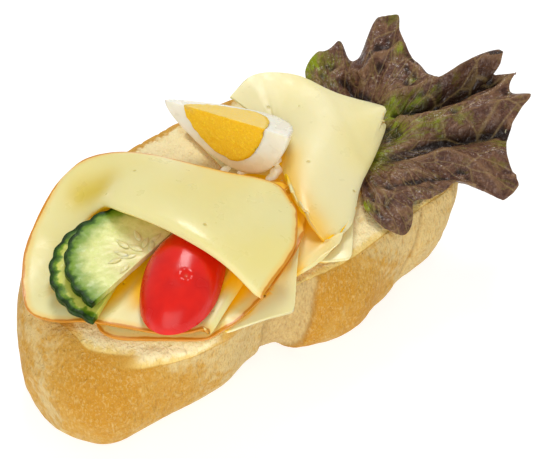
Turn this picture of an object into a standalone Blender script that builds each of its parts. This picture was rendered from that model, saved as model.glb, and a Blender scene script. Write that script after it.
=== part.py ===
"""Open sandwich: half of a small scored loaf with folded cheese slices, a boiled egg quarter,
two half slices of cucumber, half a plum cherry tomato and a red oak-leaf lettuce leaf.

All sizes below are in millimetres. MM turns them into metres when a mesh is made.
The loaf lies along X with its cut face up and its underside on Z = 0. The lettuce is at +X.
"""
import math

import bpy
import bmesh
import numpy as np
from mathutils import Vector
from mathutils.bvhtree import BVHTree

MM = 0.001

# --- driving dimensions -------------------------------------------------------------------
CLEARANCE = 0.3             # between pieces that rest on each other
BREAD_HEIGHT = 45.0
BREAD_SEGMENTS = 76
SETTLE_PASSES = 16
SETTLE_SLACK = 0.45         # soft pieces keep this much more than the clearance
RESTING_CEILING = 9.0       # bottom layers are looked for below this height
SLICE = 2.0                 # thickness of a cheese slice
LAYER = SLICE + CLEARANCE   # what one slice adds to the stack
DROOP = 0.075               # how quickly a slice bends down past the bread's edge
LOOK_UP = 3.0               # how far above a settling piece the pieces below may reach
FIRST_LAYER = CLEARANCE + SLICE / 2

# Every height from here on is counted from the bread's cut face.
EGG_LENGTH = 48.0
EGG_RADIUS = 16.6
EGG_BLUNTNESS = 0.5         # how much fuller the blunt end is
YOLK_START = 8.6            # along the axis, from the pointed end
YOLK_END = 38.0
YOLK_RADIUS = 13.4
YOLK_BLUNTNESS = 0.42
EGG_TIP = (9.85, 38.95, 22.3)
EGG_BUTT = (29.15, -4.85, 22.3)
EGG_BACK_TILT = math.radians(-25)     # the far cut face, below level
EGG_FRONT_TILT = math.radians(-110)   # the near cut face

CUCUMBER_THICKNESS = 2.4
CUCUMBER_BACK_RADIUS = 25.5
CUCUMBER_FRONT_RADIUS = 25.9
PEEL_SCALLOPS = 22          # round a whole slice
PEEL_SCALLOP_DEPTH = 0.55

TOMATO_HALF_LENGTH = 21.0
TOMATO_HALF_WIDTH = 13.0
TOMATO_HEIGHT = 10.9
TOMATO_CENTRE = (-31.8, -22.0, 4.0)
TOMATO_AXIS = (0.847, 0.532)
TOMATO_LEAN = 0.05          # how far its near right side is raised
TOMATO_TILT = 0.04          # how far its axis rises towards the fold

LEAF_THICKNESS = 0.9
LEAF_STEM = (58.0, -8.0, 1.0)

# The crust seen from above, counter-clockwise from the left end: its top edge, and its belly
# lower down, which stands out in three lobes between the scores.
BREAD_TOP_EDGE = (
    (-72, 8), (-67.5, -14), (-55, -32), (-38, -42.5), (-24, -44), (-14, -43.5), (-5, -43.5),
    (20, -45.5), (36, -44.5), (45, -44.5), (58, -44.5), (75, -42), (87, -29), (90, -3),
    (85, 22), (65, 39), (38, 46), (8, 48), (-24, 45), (-47, 36), (-65, 22),
)
BREAD_BELLY = (
    (-79.5, 6), (-80.5, -14), (-73, -28.5), (-51, -36.5), (-29, -39.5), (-14, -36), (-5, -39.5),
    (15, -51), (36, -52), (47.5, -46.5), (57, -48.5), (71, -45.5), (83, -29), (88, -1),
    (85, 24), (67, 43), (39, 50), (8, 52), (-26, 48.5), (-51, 38.5), (-71, 22),
)
# Crust wall: (height from the underside, share of the way out to the belly, way in again).
WALL = ((45.0, 0.0, 0.0), (41.0, 0.34, 0.0), (34.5, 0.68, 0.0), (26.0, 0.93, 0.0),
        (17.0, 1.0, 0.2), (10.0, 1.0, 1.6), (4.8, 1.0, 4.8), (1.3, 1.0, 9.6), (0.0, 1.0, 14.0))
# Scores across the dome: where each meets the near side, its slope and its depth.
SCORES = ((-10.0, 0.8, 5.5), (43.5, 0.8, 4.5))
LEFT_END_SQUARENESS = 0.6  # the left end rounds under less than the rest
SCORE_REACH_LEFT = 8.0      # gentle side of a score
SCORE_REACH_RIGHT = 3.0     # steep side
RIM_DIP = 2.6               # the cut face drops at the near left rim

# Corners of the slices that lie flat, seen from above.
UNDER_CORNERS = ((18.5, -48.3), (49, -19), (47, 30), (36, 44), (19, 42.5), (14, 4), (8.5, -41.5))
FRONT_CORNERS = ((-9.5, -50.5), (7.8, -34), (-2, -24), (-27, -30), (-34, -44.5))
RIND_SLICE_CORNERS = ((-36, -47), (4, -39), (23.8, -22.6), (24, -5), (-10, 17), (-48, 8), (-66, -19))

# Guides of the pocket slice, one point for each station from its left rim to its right rim.
POCKET_STATIONS = (0.0, 0.15, 0.3, 0.45, 0.6, 0.75, 0.92, 1.0)
POCKET_NEAR_RIM = ((-69.5, 17, 2.7), (-75.5, 4, 1.8), (-71, -5.5, 1.8), (-63.5, -15.5, 3.8),
                   (-56.5, -25, 4.0), (-50, -34, 4.0), (-40.6, -41.6, 5.6), (-38.2, -42.7, 5.8))
POCKET_BACK_BEND = ((-51, 31, 4), (-37, 32.5, 4), (-18.5, 29, 4), (-7, 15, 4),
                    (-2.5, -1, 4), (-3, -15, 4), (-8, -29, 4), (-9, -31, 4))
POCKET_CREASE = ((-47, 33, 6.5), (-38, 30, 8.5), (-33.5, 21, 13.5), (-33.5, 9, 18.5),
                 (-31, -5, 21.5), (-28.5, -17, 22.5), (-24, -33, 19), (-19.5, -46.5, 9.1))
POCKET_FAR_RIM = ((-33, 43, 8), (-24, 42.5, 11.5), (-15, 37, 13), (-6, 28, 12.5),
                  (2, 16, 11.5), (10, 4, 10.3), (18.5, -10.5, 10.3), (14.3, -26.2, 11.7))
POCKET_CREASE_RADIUS = 1.5
POCKET_BACK_RADIUS = 3.6
POCKET_ARCH = 2.2
POCKET_END_LIFT = 2.4       # room for the tuck at the right end
TUCK_RADIUS = 1.25          # the right side of the bottom layer is turned under
TUCK_LENGTH = 4.0
TUCK_AXIS = (0.93, 0.37)

# Guides of the plain folded slice, from its left end to its right end.
FOLD_STATIONS = (0.0, 0.25, 0.5, 0.75, 1.0)
FOLD_HIDDEN_EDGE = ((8, -30.5), (15, -14), (27, -6), (43, -5), (57, -4))
FOLD_LINE = ((15.5, -42.4), (27, -38.2), (41, -28), (57, -19), (73, -10))
FOLD_FREE_EDGE = ((35, 33.5, 13), (50, 37.5, 13.3), (62, 27, 13.1), (66, 11, 12), (75, -2.5, 9.4))
FOLD_LEFT_REACH = 18.0      # the bottom layer sticks out this far past the fold's left end
FOLD_LEFT_QUARTER = (14.0, -29.2, 12.5)    # the free left edge, which rises from the fold
FOLD_LEFT_MOST = (29.3, -2.1, 7.3)         # and passes under the egg's blunt end
FOLD_LEFT_LATE = (39.0, 8.6, 5.8)
FOLD_CORNER_BULGE = (2.6, -1.4, 0.0)
FOLD_RADIUS = 1.7
FOLD_ARCH = 3.0

# Outline of the leaf, clockwise from where it comes out behind the folded slice.
LEAF_OUTLINE = (
    (64, 14, 4), (70, 31, 6), (77, 33, 9), (84, 30, 11), (87, 28, 12), (87, 23, 7), (92, 22, 9),
    (100, 25, 16), (106, 24, 20), (109, 20, 20), (103, 12, 17), (102, 4, 12), (101, -8, 8),
    (108, -16, 15), (122, -19, 20), (119, -24, 18), (117, -22, 12), (120, -28, 14),
    (114, -33, 10), (116, -40, 12), (106, -42, 7), (98, -47, 5), (94, -51, 3), (91, -57, -2),
    (85, -59, -8), (79, -52, -1), (73, -47, 2.5), (64, -48, 2.5), (57, -47, 2.5),
    (53, -43, 2.2), (48, -48.5, 0.5), (42, -50, -3), (38, -46, 0.5), (37, -36, 2.1), (46, -26, 2),
)
LEAF_RUFFLES = 13
LEAF_RUFFLE_HEIGHT = 1.6


# --- small helpers ------------------------------------------------------------------------
def clear_scene():
    """Remove every object that the file opened with."""
    for item in list(bpy.data.objects):
        bpy.data.objects.remove(item, do_unlink=True)


def material(name, colour, roughness):
    """A non-metal Principled material."""
    made = bpy.data.materials.new(name)
    made.use_nodes = True
    shader = made.node_tree.nodes["Principled BSDF"]
    shader.inputs["Base Color"].default_value = (*colour, 1.0)
    shader.inputs["Roughness"].default_value = roughness
    shader.inputs["Metallic"].default_value = 0.0
    made.diffuse_color = (*colour, 1.0)
    return made


TREES = {}                  # search trees of the solids made so far


def in_triangles(faces):
    """The same faces with every four-cornered one cut from its first corner."""
    result = []
    for face in faces:
        corners = list(dict.fromkeys(face))
        if len(corners) == 4:
            result += [corners[:3], [corners[0], *corners[2:]]]
        elif len(corners) > 2:
            result.append(corners)
    return result


def flipped(face, offset):
    """The same face turned over, with the same first corner, on another set of points."""
    return [index + offset for index in (face[0], *reversed(face[1:]))]


def add_solid(name, points, faces, finish, sharp_degrees=50, base=BREAD_HEIGHT):
    """Turn millimetre points and faces into one closed, outward facing object.

    The points' heights are counted from base, which is the bread's cut face."""
    faces = in_triangles(faces)
    TREES[name] = BVHTree.FromPolygons([(x, y, z + base - BREAD_HEIGHT) for x, y, z in points],
                                       faces)
    work = bmesh.new()
    verts = [work.verts.new((x * MM, y * MM, (z + base) * MM)) for x, y, z in points]
    for face in faces:
        work.faces.new([verts[index] for index in face])
    bmesh.ops.remove_doubles(work, verts=work.verts, dist=0.00001 * MM)
    bmesh.ops.recalc_face_normals(work, faces=work.faces)
    mesh = bpy.data.meshes.new(name)
    work.to_mesh(mesh)
    work.free()
    mesh.shade_smooth()
    mesh.set_sharp_from_angle(angle=math.radians(sharp_degrees))
    mesh.materials.append(finish)
    made = bpy.data.objects.new(name, mesh)
    bpy.context.scene.collection.objects.link(made)
    return made


def smoothstep(low, high, value):
    """0 below low, 1 above high, and smooth between them."""
    share = np.clip((np.asarray(value, float) - low) / (high - low), 0.0, 1.0)
    return share * share * (3 - 2 * share)


def catmull_span(p0, p1, p2, p3, share):
    """Centripetal Catmull-Rom point between p1 and p2."""
    knots = [0.0]
    for start, end in ((p0, p1), (p1, p2), (p2, p3)):
        knots.append(knots[-1] + max(np.linalg.norm(end - start), 1e-6) ** 0.5)
    t0, t1, t2, t3 = knots
    t = t1 + (t2 - t1) * share
    a1 = p0 * (t1 - t) / (t1 - t0) + p1 * (t - t0) / (t1 - t0)
    a2 = p1 * (t2 - t) / (t2 - t1) + p2 * (t - t1) / (t2 - t1)
    a3 = p2 * (t3 - t) / (t3 - t2) + p3 * (t - t2) / (t3 - t2)
    b1 = a1 * (t2 - t) / (t2 - t0) + a2 * (t - t0) / (t2 - t0)
    b2 = a2 * (t3 - t) / (t3 - t1) + a3 * (t - t1) / (t3 - t1)
    return b1 * (t2 - t) / (t2 - t1) + b2 * (t - t1) / (t2 - t1)


def curve_through(points, steps, closed=False):
    """Points of a smooth curve; steps says into how many parts each span is cut."""
    pts = [np.array(point, float) for point in points]
    if closed:
        pts = [pts[-1]] + pts + pts[:2]
    else:
        pts = [2 * pts[0] - pts[1]] + pts + [2 * pts[-1] - pts[-2]]
    spans = len(pts) - 3
    counts = [steps] * spans if isinstance(steps, int) else steps
    result = []
    for span in range(spans):
        for step in range(counts[span]):
            result.append(catmull_span(*pts[span:span + 4], step / counts[span]))
    if not closed:
        result.append(pts[-2])
    return np.array(result)


def evenly(points, count, closed=False):
    """The same line with count points spread evenly along it."""
    line = np.vstack([points, points[:1]]) if closed else np.asarray(points)
    travelled = np.concatenate([[0], np.cumsum(np.linalg.norm(np.diff(line, axis=0), axis=1))])
    wanted = np.linspace(0, travelled[-1], count + 1 if closed else count)
    spread = [np.interp(wanted, travelled, line[:, axis]) for axis in range(line.shape[1])]
    result = np.array(spread).T
    return result[:-1] if closed else result


def at_station(stations, guide, where):
    """Point of a guide at a station between 0 and 1, on a smooth curve through its points."""
    pts = [np.array(point, float) for point in guide]
    pts = [2 * pts[0] - pts[1]] + pts + [2 * pts[-1] - pts[-2]]
    span = int(np.clip(np.searchsorted(stations, where, side="right") - 1, 0, len(stations) - 2))
    share = (where - stations[span]) / (stations[span + 1] - stations[span])
    return catmull_span(*pts[span:span + 4], share)


def rounded_polygon(corners, radius, arc_steps, spacing):
    """Outline with straight sides and round corners, as an (n, 2) array."""
    outline = []
    count = len(corners)
    for index in range(count):
        before, here, after = (np.array(corners[(index + k) % count], float) for k in (-1, 0, 1))
        back = (before - here) / np.linalg.norm(before - here)
        ahead = (after - here) / np.linalg.norm(after - here)
        start = here + back * radius
        end = here + ahead * radius
        for step in range(arc_steps + 1):
            share = step / arc_steps
            outline.append(start * (1 - share) ** 2 + here * 2 * share * (1 - share)
                           + end * share ** 2)
        next_back = -ahead
        side_end = after + next_back * radius
        parts = max(1, round(np.linalg.norm(side_end - end) / spacing))
        for step in range(1, parts):
            outline.append(end + (side_end - end) * step / parts)
    return np.array(outline)


def signed_distance(outline, point):
    """Distance from a closed outline in the plane, negative inside it."""
    best = 1e9
    inside = False
    for start, end in zip(outline, np.roll(outline, -1, axis=0)):
        along = end - start
        share = np.clip(np.dot(point - start, along) / np.dot(along, along), 0, 1)
        best = min(best, np.linalg.norm(point - start - along * share))
        if (start[1] > point[1]) != (end[1] > point[1]):
            cross = start[0] + (point[1] - start[1]) / (end[1] - start[1]) * along[0]
            if point[0] < cross:
                inside = not inside
    return -best if inside else best


# --- bread --------------------------------------------------------------------------------
def crust_outline(points):
    """Evenly spread points of one of the crust's outlines."""
    return evenly(curve_through(points, 12, closed=True), BREAD_SEGMENTS, closed=True)


def bread_ring(height, out_share, way_in):
    """One ring of the crust: between the top edge and the belly, and in at the scores."""
    top = crust_outline(BREAD_TOP_EDGE)
    ring = top + (crust_outline(BREAD_BELLY) - top) * out_share
    along = np.roll(ring, -1, axis=0) - np.roll(ring, 1, axis=0)
    inward = np.stack([-along[:, 1], along[:, 0]], axis=1)
    inward /= np.linalg.norm(inward, axis=1)[:, None]
    left_end = 1 - smoothstep(-78, -45, ring[:, 0])
    move = way_in * (1 - LEFT_END_SQUARENESS * left_end)
    for foot, slope, depth in SCORES:
        past = ring[:, 0] - (foot + slope * (ring[:, 1] + 44))
        reach = np.where(past < 0, SCORE_REACH_LEFT, SCORE_REACH_RIGHT)
        fade = smoothstep(BREAD_HEIGHT, 0.4 * BREAD_HEIGHT, height)
        move = move + depth * np.exp(-(past / reach) ** 2) * fade
    ring = ring + inward * move[:, None]
    return np.column_stack([ring, np.full(len(ring), height)])


def bread():
    """Loaf half: crust wall with scores, a cut face that dips at the near left rim."""
    rings = [bread_ring(*level) for level in WALL]
    dip = np.exp(-((rings[0][:, 0] + 50) / 13) ** 2 - ((rings[0][:, 1] + 36) / 9) ** 2)
    rings[0][:, 2] -= RIM_DIP * dip
    inner = rings[0] * (0.92, 0.88, 1.0)
    inner[:, 2] = BREAD_HEIGHT
    rings.insert(0, inner)
    points = np.vstack(rings)
    count = BREAD_SEGMENTS
    faces = [list(range(count)), list(range(len(points) - count, len(points)))]
    for level in range(len(rings) - 1):
        for index in range(count):
            following = (index + 1) % count
            top, low = level * count, (level + 1) * count
            faces.append((top + index, top + following, low + following, low + index))
    crust = material("bread", (0.72, 0.45, 0.18), 0.75)
    return add_solid("bread", points, faces, crust, sharp_degrees=60, base=0.0)


# --- slices that lie flat -----------------------------------------------------------------
def top_below(x, y, ceiling, names=None):
    """Highest point of the named solids, or of all made so far, under a point if any."""
    hits = [TREES[name].ray_cast(Vector((x, y, ceiling)), Vector((0, 0, -1)))[0]
            for name in names or TREES]
    heights = [hit.z for hit in hits if hit is not None]
    return max(heights) if heights else None


def triangle_samples(steps=6):
    """Weights that spread sample points over a triangle."""
    return [np.array((a, b, steps - a - b)) / steps
            for a in range(steps + 1) for b in range(steps + 1 - a)]


def settled(middle, faces, half_thickness):
    """Lift the middle points of a soft piece until it clears everything below it."""
    points = np.array(middle, float)
    triangles = in_triangles(faces)
    for _ in range(SETTLE_PASSES):
        lift = np.zeros(len(points))
        for face in triangles:
            corners = points[face]
            for weights in triangle_samples():
                x, y, z = weights @ corners
                ground = top_below(x, y, z + LOOK_UP)
                if ground is None:
                    continue
                need = ground + CLEARANCE + SETTLE_SLACK + half_thickness - z
                if need > 0:
                    pull = need / max(weights)
                    for index, weight in zip(face, weights):
                        lift[index] = max(lift[index], pull * weight)
        if lift.max() < 0.01:
            break
        points[:, 2] += lift
    return points


def lift_to_rest(points, faces, supports):
    """Raise a stiff piece by the least amount that clears the pieces it lies on."""
    points = np.array(points, float)
    samples = []
    for face in faces:
        corners = points[list(face)]
        middle = corners.mean(axis=0)
        for share in np.linspace(0, 1, 9):
            samples += list(middle + (corners - middle) * share)
    lift = 0.0
    for _ in range(SETTLE_PASSES):
        need = 0.0
        for x, y, z in samples:
            ground = top_below(x, y, z + lift + LOOK_UP, supports)
            if ground is not None:
                need = max(need, ground + CLEARANCE - z - lift)
        lift += need
    points[:, 2] += lift
    return points


def drooping(x, y):
    """Middle height of a slice on the bread alone, bending down past the crust."""
    beyond = max(0.0, signed_distance(TOP_EDGE, np.array((x, y))) - 1.0)
    return FIRST_LAYER - DROOP * beyond ** 2


TOP_EDGE = crust_outline(BREAD_TOP_EDGE)


def resting_height(x, y, reach):
    """Middle height of a slice over the highest thing within reach of a point."""
    around = [(x, y)] + [(x + reach * math.cos(turn), y + reach * math.sin(turn))
                         for turn in np.linspace(0, 2 * math.pi, 7)[:-1]]
    tops = [top_below(*place, RESTING_CEILING) for place in around]
    found = [top + CLEARANCE + SLICE / 2 for top in tops if top is not None]
    return max(found + [drooping(x, y)])


def flat_slice(name, corners, rounding, finish, rings=4, spacing=6.5):
    """A slice draped over what is below it, its rings shrinking to its middle."""
    outline = rounded_polygon(corners, rounding, 4, spacing)
    centre = outline.mean(axis=0)
    count = len(outline)
    plan = [centre + (outline - centre) * (1 - ring / rings) for ring in range(rings)]
    flat = np.vstack([*plan, centre])
    middle = [(x, y, drooping(x, y)) for x, y in flat]
    skin = []
    for index in range(count):
        following = (index + 1) % count
        for ring in range(rings - 1):
            outer = ring * count
            inner = outer + count
            skin.append((outer + index, outer + following, inner + following, inner + index))
        last = (rings - 1) * count
        skin.append((last + index, last + following, rings * count))
    middle = settled(middle, skin, SLICE / 2)
    half = np.array((0, 0, SLICE / 2))
    below = len(middle)
    faces = skin + [flipped(face, below) for face in skin]
    for index in range(count):
        following = (index + 1) % count
        faces.append((index, following, below + following, below + index))
    return add_solid(name, np.vstack([middle + half, middle - half]), faces, finish)


# --- folded sheets ------------------------------------------------------------------------
def sheet(name, middle, thickness, finish, resting_rows=None):
    """Closed solid round a grid of middle points, thickened along the grid's normals.

    The first resting_rows rows are settled on what is below them."""
    rows, columns, _ = middle.shape
    resting = rows if resting_rows is None else resting_rows
    quads = [(a, a + 1, a + columns + 1, a + columns)
             for row in range(resting - 1) for a in range(row * columns, (row + 1) * columns - 1)]
    middle = settled(middle.reshape(-1, 3), quads, thickness / 2).reshape(rows, columns, 3)
    across = np.gradient(middle, axis=0)
    along = np.gradient(middle, axis=1)
    normal = np.cross(across, along)
    normal /= np.maximum(np.linalg.norm(normal, axis=2), 1e-9)[:, :, None]
    points = np.concatenate([(middle + normal * thickness / 2).reshape(-1, 3),
                             (middle - normal * thickness / 2).reshape(-1, 3)])
    under = rows * columns
    faces = []
    for row in range(rows - 1):
        for column in range(columns - 1):
            a = row * columns + column
            quad = (a, a + 1, a + columns + 1, a + columns)
            faces.append(quad)
            faces.append(flipped(quad, under))
    rim = [column for column in range(columns)]
    rim += [row * columns + columns - 1 for row in range(1, rows)]
    rim += [(rows - 1) * columns + column for column in range(columns - 2, -1, -1)]
    rim += [row * columns for row in range(rows - 2, 0, -1)]
    for a, b in zip(rim, rim[1:] + rim[:1]):
        faces.append((a, b, under + b, under + a))
    made = add_solid(name, points, faces, finish)
    if resting_rows is not None:
        both_sides = in_triangles(quads + [flipped(quad, under) for quad in quads])
        TREES[name] = BVHTree.FromPolygons(points.tolist(), both_sides)
    return made


def unit(vector):
    """The same direction with length 1."""
    return vector / np.linalg.norm(vector)


POCKET_STEPS = (4, 2, 3, 3, 2, 2, 2, 3, 3)


def pocket_column(station):
    """Cross-section of the pocket slice, from its near rim to its far rim."""
    near = at_station(POCKET_STATIONS, POCKET_NEAR_RIM, station)
    back = at_station(POCKET_STATIONS, POCKET_BACK_BEND, station)
    lifted = POCKET_END_LIFT * float(smoothstep(0.84, 0.95, station))
    near[2] = max(near[2], resting_height(near[0], near[1], 3.0) + lifted)
    back[2] = resting_height(back[0], back[1], 3.0) + lifted
    crease = at_station(POCKET_STATIONS, POCKET_CREASE, station)
    far = at_station(POCKET_STATIONS, POCKET_FAR_RIM, station)
    folded = float(smoothstep(0.14, 0.4, station))
    closing = float(smoothstep(0.72, 1.0, station))
    up = np.array((0.0, 0.0, 1.0))
    inward = unit((back - crease) * (1, 1, 0))
    outward = unit((far - crease) * (1, 1, 0))
    radius = POCKET_BACK_RADIUS - (POCKET_BACK_RADIUS - 1.4) * closing
    turn = POCKET_CREASE_RADIUS
    low = back - inward * radius
    high = low + up * 2 * radius
    nose = back + up * radius
    crease_low = crease + inward * turn * 1.2 - up * turn
    crease_high = crease + outward * turn * 1.2 + up * turn
    slope_middle = (high + crease_low) / 2 + up * POCKET_ARCH * (1 - 0.7 * closing)
    lid_middle = (crease_high + far) / 2 + up * POCKET_ARCH * (1 - 0.3 * closing)
    bow = np.array((0.35, -0.94, 0.0)) * 4.5 * float(smoothstep(0.85, 1.0, station))
    fold = [near, low, nose, high, slope_middle, crease_low, crease, crease_high,
            lid_middle + bow, far]
    shares = np.cumsum((0,) + POCKET_STEPS) / sum(POCKET_STEPS)
    flat = []
    for share, point in zip(shares, fold):
        place = near + (far - near) * share
        place[2] = near[2] + (far[2] - near[2]) * float(smoothstep(0.42, 0.95, share))
        flat.append(place)
    if station < 0.12:
        swell = 4.4 * (1 - station / 0.12)
        flat = [place + np.array((-0.74, 0.67, 0)) * swell * math.sin(math.pi * share)
                for share, place in zip(shares, flat)]
    mixed = [a + (b - a) * folded for a, b in zip(flat, fold)]
    return curve_through(mixed, list(POCKET_STEPS))


def tucked(column, roll, tuck):
    """Move the bottom layer's part of a column round and under the bend on its right."""
    bend_right = np.array((TUCK_AXIS[1], -TUCK_AXIS[0], 0.0))
    shift = bend_right * tuck[0] + np.array((0.0, 0.0, tuck[1]))
    moved = column.copy()
    for index in range(len(column)):
        moved[index] += shift * roll[index]
    return moved


def pocket_slice(finish):
    """The rinded slice: a pleat that opens from its left rim into a pocket."""
    stations = list(np.linspace(0, 0.12, 4)) + list(np.linspace(0.17, 0.92, 14))
    columns = [pocket_column(station) for station in stations]
    rows = len(columns[0])
    kept = sum(POCKET_STEPS[:1])
    fading = sum(POCKET_STEPS[:4])
    roll = 1 - smoothstep(kept, fading, np.arange(rows))
    turn = TUCK_RADIUS
    tucks = ((1.4 * turn, -0.35 * turn), (1.9 * turn, -1.1 * turn), (1.3 * turn, -1.9 * turn),
             (-TUCK_LENGTH, -1.85 * turn))
    for step, tuck in enumerate(tucks, start=1):
        later = pocket_column(0.92 + 0.08 * step / len(tucks))
        base = columns[17] * roll[:, None] + later * (1 - roll[:, None])
        columns.append(tucked(base, roll, tuck))
    middle = np.stack(columns, axis=1)
    return sheet("smoked_slice_pocket", middle, SLICE, finish, kept + 3)


def fold_column(station):
    """Cross-section of the plain folded slice, from its hidden edge to its free edge."""
    hidden = at_station(FOLD_STATIONS, FOLD_HIDDEN_EDGE, station)
    line = at_station(FOLD_STATIONS, FOLD_LINE, station)
    free = at_station(FOLD_STATIONS, FOLD_FREE_EDGE, station)
    inward = unit(hidden - line)
    reach = np.array((-1.0, -0.04)) * FOLD_LEFT_REACH * float(1 - smoothstep(0, 0.3, station))
    front = line + inward * FOLD_RADIUS * 1.3 + reach
    rear, middle, low = (np.array((*place, resting_height(*place, 4.0)))
                         for place in (hidden, (hidden + front) / 2, front))
    nose = np.array((*line, low[2] + FOLD_RADIUS))
    high = low + np.array((*-reach, 2 * FOLD_RADIUS))
    corner = np.array(FOLD_CORNER_BULGE) * smoothstep(0.8, 1.0, station)
    raised = np.array((0, 0, FOLD_ARCH * (1 - 0.55 * station)))
    quarter = high + (free - high) * 0.36 + raised + corner
    most = high + (free - high) * 0.62 + raised * 0.9 + corner
    left_end = float(1 - smoothstep(0.1, 0.65, station))
    quarter += (np.array(FOLD_LEFT_QUARTER) - quarter) * left_end
    most += (np.array(FOLD_LEFT_MOST) - most) * left_end
    late = (most + free) / 2
    late += (np.array(FOLD_LEFT_LATE) - late) * left_end
    return curve_through([rear, middle, low, nose, high, quarter, most, late, free],
                         [2, 2, 2, 2, 2, 3, 2, 2])


def folded_slice(finish):
    """The plain slice, folded over along its near right side."""
    columns = [fold_column(station) for station in np.linspace(0, 1, 15)]
    bottom_rows = 7
    return sheet("plain_slice_folded", np.stack(columns, axis=1), SLICE, finish, bottom_rows)


# --- egg ----------------------------------------------------------------------------------
def egg_frame():
    """Pointed end, axis, level direction away from the viewer's side, and up."""
    tip = np.array(EGG_TIP)
    axis = unit(np.array(EGG_BUTT) - tip)
    up = np.array((0.0, 0.0, 1.0))
    away = unit(np.cross(up, axis))
    return tip, axis, away, unit(np.cross(axis, away))


def egg_profile(start, end, radius, bluntness, steps):
    """(distance along the axis, radius) pairs of an egg shape."""
    pairs = []
    for step in range(steps + 1):
        turn = math.pi * step / steps
        along = (start + end) / 2 - (end - start) / 2 * math.cos(turn)
        wide = radius * math.sin(turn) * (1 - bluntness * math.cos(turn))
        pairs.append((along, wide if 0 < step < steps else 0.0))
    return pairs


def sector(loop, turns):
    """Turn a closed loop of (along, radius) pairs through the egg's cut angle."""
    tip, axis, away, up = egg_frame()
    points = []
    for angle in np.linspace(EGG_BACK_TILT, EGG_FRONT_TILT, turns + 1):
        spoke = away * math.cos(angle) + up * math.sin(angle)
        points += [tip + axis * along + spoke * radius for along, radius in loop]
    return points


def sector_faces(count, turns, half):
    """Side faces of a sector and its two cut faces, laid as quads across the loop."""
    faces = []
    for turn in range(turns):
        for index in range(count):
            following = (index + 1) % count
            a, b = turn * count, (turn + 1) * count
            faces.append((a + index, a + following, b + following, b + index))
    for base in (0, turns * count):
        for index in range(half):
            other = count - 1 - index
            faces.append((base + index, base + index + 1, base + other - 1, base + other))
    return faces


def egg(white_finish, yolk_finish):
    """Boiled egg quarter: the white with a hollow, and the yolk in it."""
    steps, turns = 18, 6
    outer = egg_profile(0, EGG_LENGTH, EGG_RADIUS, EGG_BLUNTNESS, steps)
    gap = CLEARANCE
    hollow = egg_profile(YOLK_START - gap, YOLK_END + gap, YOLK_RADIUS + gap, YOLK_BLUNTNESS, steps)
    loop = outer + hollow[::-1]
    faces = sector_faces(len(loop), turns, steps)
    add_solid("egg_white", sector(loop, turns), faces, white_finish, 40)
    yolk = egg_profile(YOLK_START, YOLK_END, YOLK_RADIUS, YOLK_BLUNTNESS, steps)
    spine = [(along, 0.0) for along, _ in yolk[1:-1]]
    loop = yolk + spine[::-1]
    count = len(loop)
    faces = sector_faces(count, turns, 0)
    for base in (0, turns * count):
        for index in range(steps):
            left = base + (0 if index == 0 else count - index)
            right = base + (steps if index == steps - 1 else count - index - 1)
            faces.append((base + index, base + index + 1, right, left))
    add_solid("egg_yolk", sector(loop, turns), faces, yolk_finish, 40)


# --- cucumber and tomato ------------------------------------------------------------------
def half_disc(name, centre, full_radius, direction, tilt, supports, finish):
    """Half slice of cucumber with a scalloped peel.

    direction is the way its straight cut runs, tilt its slope in X and in Y."""
    start = math.atan2(direction[1], direction[0])
    steps = 36
    outline = []
    for step in range(steps + 1):
        angle = start + math.pi * step / steps
        radius = full_radius - PEEL_SCALLOP_DEPTH * math.cos(PEEL_SCALLOPS * angle)
        outline.append((radius * math.cos(angle), radius * math.sin(angle)))
    points = []
    for scale in (1.0, 0.55):
        for side in (CUCUMBER_THICKNESS / 2, -CUCUMBER_THICKNESS / 2):
            for x, y in outline:
                flat_x, flat_y = x * scale, y * scale
                height = centre[2] + tilt[0] * flat_x + tilt[1] * flat_y + side
                points.append((centre[0] + flat_x, centre[1] + flat_y, height))
    count = len(outline)
    top, low, top_in, low_in = 0, count, 2 * count, 3 * count
    faces = []
    for index in range(count - 1):
        faces.append((top + index, top + index + 1, low + index + 1, low + index))
        faces.append((top + index, top + index + 1, top_in + index + 1, top_in + index))
        faces.append((low + index, low + index + 1, low_in + index + 1, low_in + index))
    faces.append([top_in + index for index in range(count)])
    faces.append([low_in + index for index in range(count)][::-1])
    cut_top = [top, top_in, top_in + count - 1, top + count - 1]
    cut_low = [low, low_in, low_in + count - 1, low + count - 1]
    faces.append(cut_top + cut_low[::-1])
    points = lift_to_rest(points, faces, supports)
    return add_solid(name, points, faces, finish)


def tomato(finish):
    """Half of a plum cherry tomato on its cut face, with a faint dimple."""
    steps, rings = 28, 7
    along = unit(np.array((*TOMATO_AXIS, TOMATO_TILT)))
    across = unit(np.array((-TOMATO_AXIS[1], TOMATO_AXIS[0], -TOMATO_LEAN)))
    up = unit(np.cross(along, across))
    centre = np.array(TOMATO_CENTRE)
    points = []
    for ring in range(rings):
        rise = math.pi / 2 * ring / rings
        for step in range(steps):
            angle = 2 * math.pi * step / steps
            wide = TOMATO_HALF_WIDTH * (1 - 0.05 * math.cos(angle))
            x = TOMATO_HALF_LENGTH * math.cos(angle) * math.cos(rise)
            y = wide * math.sin(angle) * math.cos(rise)
            z = TOMATO_HEIGHT * math.sin(rise)
            points.append(centre + along * x + across * y + up * z)
    points.append(centre + up * TOMATO_HEIGHT)
    faces = [list(range(steps))]
    for ring in range(rings - 1):
        for step in range(steps):
            following = (step + 1) % steps
            a, b = ring * steps, (ring + 1) * steps
            faces.append((a + step, a + following, b + following, b + step))
    last = (rings - 1) * steps
    for step in range(steps):
        faces.append((last + step, last + (step + 1) % steps, len(points) - 1))
    points = lift_to_rest(points, faces, ("smoked_slice_pocket",))
    return add_solid("tomato_half", points, faces, finish)


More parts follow.
